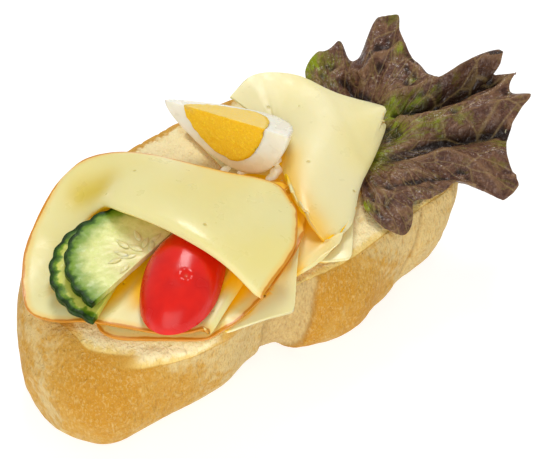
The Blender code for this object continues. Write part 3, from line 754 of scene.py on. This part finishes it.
def cheese_finish(name, cool, warm, look, rinded=False):
    """Smooth translucent cheese with painted gold shade in its folds, with a rind where the slice
    has one.

    The light that comes through other slices is stood in for by a faint glow in the folds.
    """
    made = Finish(name, cool)
    made.paint(warm, made.noise(30, 1, 0.4), 0.35, 0.75)
    low, high = (0.26, 0.8) if rinded else (0.66, 1.0)
    # Painted shade: deep gold where other food hides the sky.
    made.paint(look.painted_shade, "sheltered", low, high)
    # Painted shade: darker olive gold in the dip beside the pocket's fold, over the real dent
    # there.
    made.paint(seen(206, 178, 28), "dip", most=0.8)
    # Painted light: gold glow along the folded slice's rim.
    made.paint(seen(236, 180, 0), "glowing", most=0.75)
    if rinded:
        ragged = made.between(made.noise(5, 2, 0.5), 0.3, 0.7, -0.14, 0.14)
        depth = made.plus("from_rim", ragged, clamp=False)
        made.paint(look.rind_glow, depth, 3.6, 1.3, 0.6)
        made.paint(look.rind, depth, 1.7, 1.3, 0.95)
    else:
        # Painted shade: deep gold near the rim where the plain slice is sheltered.
        made.paint(look.painted_shade, made.times(made.between("from_rim", 6.0, 0.5),
                                         made.between("sheltered", 0.35, 0.7, 0.0, 0.8)))
    # Painted shade inside the small eyes, which are also pressed in as shallow dents.
    eyes = made.cells(11)
    made.paint(seen(190, 164, 40), eyes, 0.06, 0.035, 0.6)
    made.bump(made.between(eyes, 0.03, 0.08), 0.25)
    made.bump(made.noise(1.4, 3, 0.6), 0.02)
    made.bump(made.noise(7, 2, 0.5), 0.12)
    # The emission is a painted gold glow that grows with shelter.
    return made.done((0.3, (1.0, 0.8, 0.4), 2),
                     Roughness=made.between(made.noise(9, 3, 0.6), 0.4, 0.65, 0.42, 0.27),
                     Specular_IOR_Level=made.between("sheltered", 0.3, 0.8, 0.45, 0.1),
                     Emission_Color=(*seen(255, 202, 30), 1),
                     Emission_Strength=made.between("sheltered", 0.4, 1.0, 0.0, look.glow))


PLAIN_SLICES = (("plain_slice_under", "flat_plain_slice"),
                ("plain_slice_folded", "folded_plain_slice"),
                ("plain_slice_front", "near_plain_slice"))
RINDED_SLICES = (("smoked_slice_under", "lower_rinded_slice"),
                 ("smoked_slice_pocket", "pocket_rinded_slice"))


def make_slices(slices, look, finish):
    """Make each slice, tie it to the frame and hide its solid."""
    tree = frame_tree()
    for node, name in slices:
        finish_piece(cheese_piece(node, name, look, tree), (node,), finish)


class SANDWICH_OT_plain_cheese(bpy.types.Operator):
    """Make the three plain slices: the flat one, the folded one and the one at the near side"""

    bl_idname = "sandwich.plain_cheese"
    bl_label = "Plain cheese"

    def execute(self, context):
        look = context.scene.sandwich_cheese
        finish = cheese_finish("plain_cheese", look.plain, look.plain_warm, look)
        make_slices(PLAIN_SLICES, look, finish)
        return {"FINISHED"}


class SANDWICH_OT_rinded_cheese(bpy.types.Operator):
    """Make the two rinded slices: the lower one and the one folded into a pocket"""

    bl_idname = "sandwich.rinded_cheese"
    bl_label = "Rinded cheese"

    def execute(self, context):
        look = context.scene.sandwich_cheese
        finish = cheese_finish("rinded_cheese", look.rinded, look.rinded_warm, look, rinded=True)
        make_slices(RINDED_SLICES, look, finish)
        return {"FINISHED"}


# --- egg ---
class SandwichEgg(bpy.types.PropertyGroup):
    """Sizes and colours of the egg wedge."""

    crumble: a_length("Crumble", "Roughness of the cut yolk", 0.22)
    white: a_colour("White", "The boiled white", seen(234, 228, 208))
    yolk: a_colour("Yolk", "The cut yolk", seen(238, 180, 0))
    # Paler yolk: painted light on the upward-facing cut face, and the yolk's drier patches.
    lit_and_dry_yolk: a_colour("Pale yolk", "Its lighter, drier places", seen(246, 212, 118))


YOLK_GROWTH = 0.055


class SANDWICH_OT_egg(bpy.types.Operator):
    """Make the wedge of boiled egg: its glossy white and its crumbly yolk"""

    bl_idname = "sandwich.egg"
    bl_label = "Egg"

    def execute(self, context):
        look = context.scene.sandwich_egg
        white = copy_of_solid("egg_white", "egg_white_wedge")
        crease_edges(white, 40, 1.0)
        subdivide(white, 3)
        points = points_of(white)
        push_points(white, points, 0.16 * lumps(points, 9, 2))
        # Painted reflection: the white turns yellow towards its bottom, as if lit by the cheese
        # below.
        store(white, near_cheese=ramp(13, 1, points[:, 2] - points[:, 2].min()))
        made = Finish("egg_white", look.white)
        cloudy = made.noise(7, 2)
        made.paint(seen(240, 236, 222), cloudy, 0.3, 0.7)
        # Painted reflection of the cheese near the bottom of the white.
        made.paint(seen(240, 206, 124), "near_cheese", most=0.6)
        made.bump(made.noise(1.6, 3), 0.03)
        finish = made.done((0.6, (1.0, 0.8, 0.6), 3),
                           Roughness=made.between(cloudy, 0.3, 0.7, 0.24, 0.34))
        finish_piece(white, ("egg_white",), finish)
        yolk = copy_of_solid("egg_yolk", "egg_yolk_wedge")
        crease_edges(yolk, 40, 1.0)
        subdivide(yolk, 4)
        points = points_of(yolk)
        points += YOLK_GROWTH * (points - points.mean(axis=0))
        crumble = look.crumble / MM * lumps(points, 1.3, 4) + 0.2 * lumps(points, 4, 5)
        above = ramp(0.25, 0.7, normals_of(yolk)[:, 2])
        push_points(yolk, points, 0.06 + crumble * (1 - 0.5 * above))
        # Above marks the upward-facing yolk and ridge the band between the faces, both for
        # painted light.
        store(yolk, above=above, ridge=hill(above - 0.4, 0.3))
        made = Finish("egg_yolk", look.yolk)
        # Painted light: the upward-facing face paler than the front face.
        made.paint(look.lit_and_dry_yolk, "above")
        made.paint(look.lit_and_dry_yolk, made.noise(1.1, 4, 0.7), 0.5, 0.75, 0.35)
        # Painted light: a bright yellow band along the ridge between the lit and the shaded face.
        made.paint(seen(255, 204, 0), "ridge")
        made.paint(seen(255, 214, 40), made.noise(0.9, 3, 0.7), 0.54, 0.62, 0.7)
        made.bump(made.noise(0.9, 2, 0.6), 0.5)
        finish = made.done((0.2, (1.0, 0.7, 0.1), 2), Roughness=0.5, Specular_IOR_Level=0.25)
        finish_piece(yolk, ("egg_yolk",), finish)
        return {"FINISHED"}


# --- mayonnaise ---
class SandwichDabs(bpy.types.PropertyGroup):
    """Size and colour of the dabs of mayonnaise under the egg."""

    unevenness: a_length("Unevenness", "How lumpy the dabs are", 0.7)
    colour: a_colour("Mayonnaise", "The dabs under the egg", seen(250, 244, 220))


# Middle of each dab, and its length, width and height.
DABS = (((29.2, 0.4, 51.8), (5.0, 4.5, 3.0)), ((26.8, -1.6, 50.6), (5.0, 3.6, 2.8)),
        ((31.0, 3.4, 52.8), (4.0, 3.6, 2.4)), ((24.0, -2.2, 49.4), (4.8, 3.2, 2.2)),
        ((15.0, 12.6, 48.6), (5.4, 2.8, 1.8)), ((18.6, 7.6, 48.6), (5.0, 2.8, 1.8)))


class SANDWICH_OT_dabs(bpy.types.Operator):
    """Make the small dabs of mayonnaise that hold the egg"""

    bl_idname = "sandwich.dabs"
    bl_label = "Mayonnaise"

    def execute(self, context):
        look = context.scene.sandwich_dabs
        bpy.ops.object.select_all(action="DESELECT")
        bpy.ops.mesh.primitive_ico_sphere_add(subdivisions=5, radius=MM / 2)
        first = bpy.context.object
        ball = points_of(first)
        out = ball / np.linalg.norm(ball, axis=1)[:, None]
        shapes = []
        for middle, size in DABS:
            points = ball * size + middle
            bump = look.unevenness / MM * lumps(points, 2.6, 3) + 0.25 * lumps(points, 1.1, 4)
            shapes.append(points + out * bump[:, None] * (1, 1, 0.6))
        join_copies(first, "mayonnaise_dabs", shapes)
        made = Finish("mayonnaise", look.colour)
        cloudy = made.noise(2, 2)
        made.paint(seen(244, 230, 180), cloudy, 0.3, 0.7)
        made.bump(made.noise(0.7, 2), 0.05)
        # The emission is a painted glow that brightens the dabs in the shade under the egg.
        finish = made.done((0.4, (1.0, 0.9, 0.6), 2),
                           Roughness=made.between(cloudy, 0.3, 0.7, 0.12, 0.25),
                           Emission_Color=(*seen(255, 246, 216), 1), Emission_Strength=0.14)
        finish_piece(first, (), finish)
        return {"FINISHED"}


# --- cucumber ---
class SandwichCucumber(bpy.types.PropertyGroup):
    """Sizes and colours of the cucumber slices."""

    peel: a_colour("Peel", "The outermost skin", seen(24, 48, 2))
    rim: a_colour("Green rim", "The flesh just inside the peel", seen(108, 146, 14))
    flesh: a_colour("Flesh", "The outer flesh", seen(222, 226, 142))
    core: a_colour("Core", "The wet seed core", seen(230, 222, 156))
    behind: a_colour("Back slice", "Flesh of the slice behind", seen(204, 206, 70))


# Each half slice: node, name, middle of its full disc, full radius, the way that its straight
# cut runs, and its slope in X and in Y.
CUCUMBER_SLICES = (
    ("cucumber_back", "back_cucumber_slice", (-42.0, -5.8), 25.5, (27, 14), (0.0, 0.0)),
    ("cucumber_front", "front_cucumber_slice", (-37.5, -9.2), 25.9, (24, 5.4), (-0.035, 0.015)),
)
SCALLOPS = 22
SCALLOP_DEPTH_MM = 0.95
SLICE_THICKNESS_MM = 2.3


def scalloped(turn, radius):
    """Radius of the scalloped rim at each turn."""
    ring = np.column_stack([np.cos(turn), np.sin(turn), turn * 0])
    notch = 1 - np.abs(np.sin(SCALLOPS / 2 * turn)) ** 0.8
    return radius + 0.35 - SCALLOP_DEPTH_MM * notch + 0.3 * lumps(ring * 40, 14, 5)


def half_slice(node, name, middle, radius, direction, tilt):
    """A half disc with scalloped rim: a grid bent round the middle and given a thickness."""
    bpy.ops.mesh.primitive_grid_add(x_subdivisions=88, y_subdivisions=16, size=2 * MM)
    piece = bpy.context.object
    piece.name = name
    grid = points_of(piece)
    start = math.atan2(direction[1], direction[0])
    turn = start + math.pi * (1 - (grid[:, 0] + 1) / 2)
    out = np.clip((grid[:, 1] + 1) / 2, 0, 1) ** 0.8
    reach = out * (radius + (scalloped(turn, radius) - radius) * ramp(0.72, 1.0, out))
    flat = np.column_stack([np.cos(turn), np.sin(turn)]) * reach[:, None]
    slope = flat @ np.array(tilt)
    level = top_of(node) - slope.max() - SLICE_THICKNESS_MM / 2 + slope
    move_points(piece, np.column_stack([flat + middle, level]))
    begin_edit(piece)
    bpy.ops.mesh.remove_doubles(threshold=MERGE_DISTANCE)
    bpy.ops.mesh.normals_make_consistent(inside=False)
    end_edit()
    if normals_of(piece)[:, 2].mean() < 0:
        begin_edit(piece)
        bpy.ops.mesh.flip_normals()
        end_edit()
    modify(piece, "SOLIDIFY", thickness=SLICE_THICKNESS_MM * MM, offset=0)
    round_edges(piece, 0.22)
    subdivide(piece, 1)
    points = points_of(piece)
    offset = points[:, :2] - middle
    away = np.linalg.norm(offset, axis=1)
    share = away / radius
    angle = np.arctan2(offset[:, 1], offset[:, 0])
    level = np.abs(normals_of(piece)[:, 2])
    flesh = ramp(0.93, 0.86, share)
    wet = 0.12 * lumps(points, 5, 1) + 0.05 * lumps(points, 2, 2)
    cavity = 0.32 * hill(share - 0.3, 0.17) * (0.5 + 0.5 * np.cos(6 * angle + 1.0))
    move = level * flesh * (wet - cavity) + 0.08 * lumps(points, 1.5, 3)
    push_points(piece, points, move)
    store(piece, out=away / scalloped(angle, radius) + 0.008 * lumps(points, 3, 4),
          behind=np.full(len(points), node == "cucumber_back"),
          rim_side=ramp(0.75, 0.35, level) * ramp(0.93, 0.97, share))
    return piece


def cucumber_finish(look):
    """Wet flesh that goes from a dark peel through green to a pale seed core."""
    made = Finish("cucumber", look.core)
    cloudy = made.noise(3.5, 3, 0.6)
    made.paint(look.flesh, "out", 0.3, 0.66)
    made.paint(seen(198, 206, 112), cloudy, 0.4, 0.7, 0.5)
    made.paint(seen(236, 230, 176), made.noise(2.2, 3, 0.6, warp=1.6), 0.55, 0.7, 0.4)
    made.paint(look.behind, "behind", most=0.8)
    edge = made.plus("out", made.between(cloudy, 0.2, 0.8, -0.04, 0.04), clamp=False)
    made.paint(look.rim, edge, made.between("behind", 0.0, 1.0, 0.64, 0.86), 0.9, 0.94)
    made.paint(seen(54, 92, 8), edge, 0.88, 0.955)
    peel = made.blend(made.between(made.noise(2.4, 3), 0.4, 0.75), look.peel, seen(44, 80, 10))
    made.paint(peel, "out", 0.935, 0.965)
    made.paint(peel, "rim_side")
    made.bump(made.noise(1.2, 4, 0.65), 0.1)
    return made.done((made.between("out", 0.8, 0.9, 0.2, 0.0), (0.7, 1.0, 0.35), 1.5),
                     Roughness=made.between(cloudy, 0.3, 0.7, 0.26, 0.4),
                     Specular_IOR_Level=made.between("out", 0.85, 0.94, 0.35, 0.12))


# Seeds of the front slice: how far out they lie as a share of the radius, and their turn from
# the straight cut in degrees.
SEEDS = ((0.2, 12), (0.34, 18), (0.24, 38), (0.38, 50), (0.2, 78), (0.36, 88), (0.3, 118),
         (0.38, 142), (0.2, 128), (0.33, 166))
SEED_LENGTH_MM = 5.8
SEED_WIDTH_MM = 2.2
SEED_HEIGHT_MM = 0.6
SEED_SUNK_MM = 0.9


def seed_piece():
    """One seed: a ball drawn out to a point at one end."""
    bpy.ops.object.select_all(action="DESELECT")
    bpy.ops.mesh.primitive_uv_sphere_add(segments=20, ring_count=12, radius=MM / 2)
    seed = bpy.context.object
    points = points_of(seed)
    narrow = 1 - 0.5 * ramp(-0.1, 0.5, points[:, 0])
    move_points(seed, points * (SEED_LENGTH_MM, SEED_WIDTH_MM, SEED_HEIGHT_MM)
                * np.column_stack([np.ones(len(points)), narrow, narrow]))
    return seed


class SANDWICH_OT_cucumber(bpy.types.Operator):
    """Make the two half slices of cucumber, with scalloped peel and seeds"""

    bl_idname = "sandwich.cucumber"
    bl_label = "Cucumber"

    def execute(self, context):
        look = context.scene.sandwich_cucumber
        finish = cucumber_finish(look)
        for node, *shape in CUCUMBER_SLICES:
            finish_piece(half_slice(node, *shape), (node,), finish)
        self.add_seeds()
        return {"FINISHED"}

    def add_seeds(self):
        """Lay the seeds on the front slice, half sunk, and join them."""
        node, _, middle, radius, direction, tilt = CUCUMBER_SLICES[1]
        start = math.atan2(direction[1], direction[0])
        first = seed_piece()
        shape = points_of(first)
        chance = np.random.default_rng(5)
        shapes = []
        for share, degrees in SEEDS:
            turn = start + math.radians(degrees + chance.uniform(-4, 4))
            heading = turn + chance.uniform(-0.35, 0.35)
            along = np.array((math.cos(heading), math.sin(heading), 0))
            across = np.array((-along[1], along[0], 0))
            spot = np.array((math.cos(turn), math.sin(turn))) * share * radius
            height = top_of(node) - SEED_SUNK_MM + spot @ np.array(tilt)
            centre = np.array((*(spot + middle), height))
            size = chance.uniform(0.85, 1.1)
            shapes.append(centre + size * (shape[:, :1] * along + shape[:, 1:2] * across)
                          + shape[:, 2:] * (0, 0, 1))
        join_copies(first, "cucumber_seeds", shapes)
        subdivide(first, 1)
        made = Finish("cucumber_seed", seen(234, 226, 168))
        cloudy = made.noise(1.5, 2)
        made.paint(seen(220, 208, 138), cloudy, 0.3, 0.7)
        made.bump(cloudy, 0.05)
        finish = made.done((0.5, (1.0, 0.9, 0.5), 1.5), Roughness=0.3, Specular_IOR_Level=0.3)
        finish_piece(first, (), finish)


# --- tomato ---
class SandwichTomato(bpy.types.PropertyGroup):
    """Sizes and colours of the tomato half."""

    dimple_depth: a_length("Dimple", "Depth of the mark on its skin", 0.6)
    skin: a_colour("Skin", "The glossy red skin", seen(222, 26, 10))
    skin_dark: a_colour("Dark skin", "Its riper places", seen(208, 18, 8))


TOMATO_MIDDLE_MM = (-31.8, -22.0)
NEAR_SIDE = (-0.669, -0.743)
TOMATO_OVERHANG_MM = 3.6
DIMPLE_MM = (-36.4, -29.3, 63.6)


def shape_tomato(piece, look):
    """Let the near end hang over a little more, and press the dimple in."""
    points = points_of(piece)
    reach = (points[:, :2] - TOMATO_MIDDLE_MM) @ np.array(NEAR_SIDE)
    points[:, :2] += TOMATO_OVERHANG_MM * ramp(-4, 14, reach)[:, None] * NEAR_SIDE
    points[:, 2] += 0.12 * lumps(points, 9, 3)
    offset = points - DIMPLE_MM
    away = np.linalg.norm(offset, axis=1)
    turn = np.arctan2(offset[:, 1], offset[:, 0])
    depth = look.dimple_depth / MM
    star = 0.7 + 0.3 * np.cos(5 * turn + 0.6)
    move = depth * (0.5 * star * hill(away - 2.0, 0.9) - hill(away, 1.2))
    push_points(piece, points, move)
    store(piece, scar=hill(away, 0.55))


class SANDWICH_OT_tomato(bpy.types.Operator):
    """Make the half plum tomato with its small dimple"""

    bl_idname = "sandwich.tomato"
    bl_label = "Tomato"

    def execute(self, context):
        look = context.scene.sandwich_tomato
        piece = copy_of_solid("tomato_half", "plum_tomato_half")
        crease_edges(piece, CUT_DEGREES, 0.6)
        subdivide(piece, 4)
        shape_tomato(piece, look)
        made = Finish("tomato", look.skin)
        ripe = made.noise(9, 2)
        made.paint(look.skin_dark, ripe, 0.35, 0.65)
        made.paint(seen(206, 120, 84), "scar", most=0.7)
        made.bump(made.noise(0.5, 2), 0.01)
        finish = made.done((0.2, (1.0, 0.12, 0.06), 3), Specular_IOR_Level=0.35,
                           Roughness=made.between(ripe, 0.3, 0.7, 0.2, 0.28))
        finish_piece(piece, ("tomato_half",), finish)
        return {"FINISHED"}


# --- lettuce ---
class SandwichLettuce(bpy.types.PropertyGroup):
    """Sizes and colours of the lettuce leaf."""

    crumple: a_length("Crumple", "Height of the small ripples", 0.9)
    ruffle: a_length("Ruffle", "How far the margin waves", 1.5)
    fold_scale: a_number("Fold height", "Height of the folds, 1 as listed", 1.2, min=0)
    red: a_colour("Red leaf", "The red-brown of the lobes", seen(88, 58, 47))
    rosy: a_colour("Rosy leaf", "Its lighter places", seen(114, 80, 58))
    # Darkest tone of the leaf, also painted as shade into its valleys and under its folds.
    dark_leaf_and_shade: a_colour("Dark leaf", "Its deepest colour", seen(30, 19, 15))
    green: a_colour("Green leaf", "The green near the midrib", seen(132, 144, 14))
    olive: a_colour("Olive leaf", "Where red and green mix", seen(112, 98, 44))
    underside: a_colour("Underside", "The pale lower side", seen(190, 186, 150))


# Folds of the leaf: the line that each follows, its height, and how wide it is on the far and
# on the near side of that line.
LEAF_FOLDS = (
    (((79, -1), (90, -6), (99, -11), (104, -15), (112, -18), (120, -21)), 3.6, 6.0, 2.0),
    (((78, -6), (84, -9.5), (91, -14.5), (99, -18), (106, -20.5), (114, -24)), -4.2, 2.4, 3.0),
    (((72, -6), (82, -15), (89, -22), (98, -26.2), (108.5, -29), (117, -29)), 2.8, 1.8, 5.0),
    (((72, -13), (84, -22.5), (97, -30), (107, -35), (115, -39.5)), 3.0, 4.5, 4.0),
    (((58, -18), (66.6, -20), (74, -24), (84, -28.5), (93, -34.5), (103, -40.5)), -4.4, 1.7, 4.6),
    (((60, -24), (69, -28), (78, -34), (83, -44), (85, -55)), 2.2, 3.2, 3.6),
    (((55, -34.6), (65, -39), (76, -44.4)), -1.8, 3.0, 3.0),
    (((84, 20), (84.5, 13), (92, 14.8), (100, 10.5)), 1.7, 1.2, 2.6),
    (((81, 20), (78.3, 11.3), (78, 3)), -3.2, 3.6, 3.0),
    (((99, 5), (99, -2), (98, -9)), 1.4, 1.2, 2.2),
    (((66, 20), (73, 27), (79, 31)), 1.8, 3.0, 3.0),
    (((47, -30), (52, -38), (49, -45)), 1.6, 3.0, 3.0),
)
# Pointed tips: where each is and how far it is drawn out from the stem.
LEAF_TIPS = (((86.5, 27.5), 3.6), ((109, 20), 4.0), ((121.5, -20.5), 2.0), ((119, -28.5), 3.0),
             ((116, -40.5), 3.0), ((101, 25.5), 2.2), ((90, -57), 2.6))
LEAF_STEM_MM = (58.0, -8.0)
LEAF_THICKNESS_MM = 0.9
# Green places: middle, reach, and strength. The first four run along the midrib.
LEAF_GREENS = (
    ((80, -7), 5.5, 1.0), ((85, -10), 4.5, 1.0), ((90, -10), 3.4, 0.7), ((96, -13), 3.0, 0.5),
    ((74, -14), 6.0, 0.75), ((80, -19), 4.5, 0.6), ((86, -24), 4.5, 0.55), ((93, -28), 4.0, 0.4),
    ((74, 31), 6.5, 0.95), ((80, 26), 3.4, 0.5), ((72, 23), 6.0, 0.45), ((99.4, 9), 1.9, 0.9),
    ((93.7, -3.4), 2.0, 0.8), ((97.5, -44), 4.5, 0.5), ((60, -15), 9.0, 0.9),
    ((108, 20), 4.0, 0.35), ((38, -34), 4.0, 0.9), ((104, -15), 2.5, 0.4),
)
# Painted shade under the folds: the line, its reach and its strength.
LEAF_SHADES = (
    (((84, -9.5), (91, -14), (99, -17.5), (106, -20), (113, -23)), 3.2, 0.9),
    (((60, -18.5), (74, -24), (84, -28), (93, -34), (103, -40)), 1.6, 0.8),
)
# Where the pale underside is seen: middle and reach.
LEAF_PALE_BELOW = (((104, -46), 9.0), ((40, -33), 5.0))


def shape_leaf(piece, look, rim):
    """Raise the leaf's folds, draw out its tips and crumple it, both sides together."""
    points = points_of(piece)
    under = ramp(0.15, -0.3, normals_of(piece)[:, 2])
    outward = points[:, :2] - LEAF_STEM_MM
    away = np.linalg.norm(outward, axis=1)
    turn = np.arctan2(outward[:, 1], outward[:, 0])
    outward /= np.maximum(away, 1.0)[:, None]
    rise = np.zeros(len(points))
    for line, height, far, near in LEAF_FOLDS:
        distance, share, side = along_line(points, line)
        width = np.where(side > 0, far, near)
        rise += height * crest(distance, width) * ramp(-0.05, 0.25, share + 0.05)
    rise *= look.fold_scale
    crumple = look.crumple / MM
    flat = points * (1, 1, 0)
    across, still = 40 * turn, 0 * turn
    rays = np.column_stack([across, 0.35 * away, still])
    bent = flat + 2.4 * np.column_stack([lumps(flat, 7, 21), lumps(flat, 7, 22), still])
    rise += crumple * (0.5 * ridges(bent, 9, 3) + 0.36 * ridges(bent, 4.6, 4)
                       + 0.22 * ridges(bent, 2.6, 5) + 0.2 * ridges(rays, 5, 6))
    margin = ramp(9, 0.5, distance_from(rim, points))
    rise += look.ruffle / MM * margin * lumps(np.column_stack([across, away / 3, still]), 4.5, 8)
    moved = points.copy()
    moved[:, 2] += rise * ramp(12, 24, away)
    for tip, reach in LEAF_TIPS:
        moved[:, :2] += outward * (reach * near_spot(points, tip, 2.6))[:, None]
    low, high = (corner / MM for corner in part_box("lettuce_leaf"))
    moved[:, 2] = np.minimum(moved[:, 2], high[2] + 0.5 * lumps(points, 5, 9))
    bread_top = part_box("bread")[1].z / MM
    floor = bread_top + 0.3 + LEAF_THICKNESS_MM * (1 - under)
    moved[:, 2] = np.where(points[:, 2] > bread_top, np.maximum(moved[:, 2], floor), moved[:, 2])
    moved[:, :2] = np.clip(moved[:, :2], low[:2], high[:2])
    move_points(piece, moved)
    pale = sum(near_spot(points, middle, reach) for middle, reach in LEAF_PALE_BELOW)
    # Raised is used to paint light on the crests and shade in the valleys.
    store(piece, green=strongest(near_spot, points, LEAF_GREENS),
          shade=strongest(near_line, points, LEAF_SHADES), under=under * np.clip(pale, 0, 1),
          raised=np.clip(0.5 + standing_out(piece, 14) / 1.6, 0, 1),
          rays_across=40 * MM * turn, rays_along=0.35 * MM * away)


def lettuce_finish(look):
    """Red-brown leaf mottled with green, with a net of fine veins, a soft sheen, painted light on
    its crests and painted shade in its valleys and under its folds.
    """
    made = Finish("lettuce", look.red)
    rays = made.add("ShaderNodeCombineXYZ", "Vector", {"X": "rays_across", "Y": "rays_along"})
    mottle = made.noise(1.0, 3, 0.6, warp=0.8)
    streak = made.noise(1.9, 5, 0.7, rays, 1.0)
    veins = made.cells(5.0, rays, "DISTANCE_TO_EDGE")
    made.paint(look.rosy, made.noise(6, 4, 0.65), 0.35, 0.68)
    made.paint(look.olive, streak, 0.52, 0.7, 0.5)
    made.paint(look.dark_leaf_and_shade, mottle, 0.5, 0.3, 0.35)
    made.paint(seen(166, 122, 84), mottle, 0.53, 0.7, 0.35)
    green = made.plus("green", made.between(streak, 0.3, 0.7, -0.3, 0.3))
    made.paint(look.olive, green, 0.15, 0.45)
    made.paint(look.green, green, 0.45, 0.85)
    # Painted light on the crests and painted shade in the valleys.
    made.paint(seen(148, 114, 80), "raised", 0.54, 0.75, 0.45)
    made.paint(look.dark_leaf_and_shade, "raised", 0.5, 0.26, 0.85)
    made.paint(look.dark_leaf_and_shade, "shade", most=0.9)
    made.paint(seen(156, 132, 84), veins, 0.05, 0.0, 0.4)
    made.paint(look.underside, "under", most=0.9)
    made.bump(made.between(veins, 0.0, 0.2), 0.12)
    made.bump(streak, 0.14)
    made.bump(made.noise(4.4, 2, 0.5, warp=0.8), 1.8)
    made.bump(made.noise(1.6, 1, 0.5, warp=0.5), 0.35)
    return made.done((0.08, (0.8, 0.6, 0.2), 1),
                     Roughness=made.between(mottle, 0.4, 0.6, 0.42, 0.26),
                     Specular_IOR_Level=made.between(mottle, 0.45, 0.6, 0.16, 0.4))


class SANDWICH_OT_lettuce(bpy.types.Operator):
    """Make the ruffled red lettuce leaf with its folds, tips and veins"""

    bl_idname = "sandwich.lettuce"
    bl_label = "Lettuce"

    def execute(self, context):
        look = context.scene.sandwich_lettuce
        piece = copy_of_solid("lettuce_leaf", "oak_lettuce_leaf")
        rim = rim_line(piece, LEAF_THICKNESS_MM)
        subdivide(piece, 3)
        shape_leaf(piece, look, rim)
        finish_piece(piece, ("lettuce_leaf",), lettuce_finish(look))
        return {"FINISHED"}


# --- stage ---
AN_ANGLE = {"subtype": "ANGLE", "unit": "ROTATION"}


class SandwichStage(bpy.types.PropertyGroup):
    """Camera, floor and lights."""

    azimuth: a_number("Azimuth", "Where the camera stands", math.radians(-42), **AN_ANGLE)
    elevation: a_number("Elevation", "How high it looks from", math.radians(45), **AN_ANGLE)
    distance: a_length("Distance", "From the camera to what it looks at", 462)
    floor: a_colour("Floor", "The plain pale floor", (0.5, 0.5, 0.5))
    floor_glow: a_share("Floor glow", "How much light the floor gives by itself", 0.68)
    ambient: a_number("Ambient light", "Strength of the sky", 0.5, min=0)
    window: a_power("Window light", "Power of the large light", 4.1)
    fill: a_power("Fill light", "Power of the light in front", 5.2)


LOOK_AT_MM = (19.8, -6.6, 29.5)
LENS_MM = 85
SENSOR_MM = 36
FLOOR_WIDTH = 4.0
# Place and width of each light, in metres.
WINDOW = ((0.36, 0.36, 0.85), 0.3)
FILL = ((-0.62, -0.55, 0.42), 0.9)


def aim(item, target):
    """Turn a lamp or camera towards a point."""
    item.rotation_euler = (Vector(target) - item.location).to_track_quat("-Z", "Y").to_euler()


def soft_light(name, power, place, width):
    """A square area light that shines on the sandwich."""
    bpy.ops.object.light_add(type="AREA", location=place)
    lamp = bpy.context.object
    lamp.name = name
    lamp.data.energy = power
    lamp.data.size = width
    aim(lamp, [part * MM for part in LOOK_AT_MM])


class SANDWICH_OT_stage(bpy.types.Operator):
    """Make the floor, the lights and the camera"""

    bl_idname = "sandwich.stage"
    bl_label = "Stage"

    def execute(self, context):
        look = context.scene.sandwich_stage
        scene = context.scene
        bpy.ops.mesh.primitive_plane_add(size=FLOOR_WIDTH, location=(0, 0, 0))
        floor = bpy.context.object
        floor.name = "floor"
        finish = Finish("floor", look.floor).done(
            Roughness=0.9, Specular_IOR_Level=0.1, Emission_Color=(1, 1, 1, 1),
            Emission_Strength=look.floor_glow)
        floor.data.materials.append(finish)
        target = Vector(LOOK_AT_MM) * MM
        back = Vector((math.sin(look.azimuth) * math.cos(look.elevation),
                       -math.cos(look.azimuth) * math.cos(look.elevation),
                       math.sin(look.elevation)))
        bpy.ops.object.camera_add(location=target + back * look.distance)
        camera = bpy.context.object
        camera.name = "camera"
        camera.data.lens = LENS_MM
        camera.data.sensor_width = SENSOR_MM
        camera.data.clip_start = 0.01
        aim(camera, target)
        scene.camera = camera
        scene.view_settings.view_transform = "Standard"
        world = bpy.data.worlds.new("studio")
        world.use_nodes = True
        sky = world.node_tree.nodes["Background"].inputs
        sky["Color"].default_value = (1, 1, 1, 1)
        sky["Strength"].default_value = look.ambient
        scene.world = world
        soft_light("window", look.window, *WINDOW)
        soft_light("fill", look.fill, *FILL)
        return {"FINISHED"}


# --- add-on ---
STEPS = (SANDWICH_OT_bread, SANDWICH_OT_plain_cheese, SANDWICH_OT_rinded_cheese,
         SANDWICH_OT_egg, SANDWICH_OT_dabs, SANDWICH_OT_cucumber, SANDWICH_OT_tomato,
         SANDWICH_OT_lettuce, SANDWICH_OT_stage)
LOOKS = (("sandwich_bread", SandwichBread), ("sandwich_cheese", SandwichCheese),
         ("sandwich_egg", SandwichEgg), ("sandwich_dabs", SandwichDabs),
         ("sandwich_cucumber", SandwichCucumber), ("sandwich_tomato", SandwichTomato),
         ("sandwich_lettuce", SandwichLettuce), ("sandwich_stage", SandwichStage))


class SANDWICH_PT_panel(bpy.types.Panel):
    """Lists the pieces of the sandwich, with their sizes and colours"""

    bl_label = "Open sandwich"
    bl_space_type = "VIEW_3D"
    bl_region_type = "UI"
    bl_category = "Sandwich"

    def draw(self, context):
        for step in STEPS:
            self.layout.operator(step.bl_idname)
        for name, group in LOOKS:
            box = self.layout.box()
            box.label(text=group.__doc__)
            for field in group.__annotations__:
                box.prop(getattr(context.scene, name), field)


def register():
    """Make the looks, the operators and the panel known to Blender."""
    for name, group in LOOKS:
        bpy.utils.register_class(group)
        setattr(bpy.types.Scene, name, bpy.props.PointerProperty(type=group))
    for item in (*STEPS, SANDWICH_PT_panel):
        bpy.utils.register_class(item)


def unregister():
    """Take them away again."""
    for item in (SANDWICH_PT_panel, *reversed(STEPS)):
        bpy.utils.unregister_class(item)
    for name, group in reversed(LOOKS):
        delattr(bpy.types.Scene, name)
        bpy.utils.unregister_class(group)


def main():
    """Make every piece in order."""
    register()
    for step in STEPS:
        family, name = step.bl_idname.split(".")
        getattr(getattr(bpy.ops, family), name)()


if __name__ == "__main__":
    main()
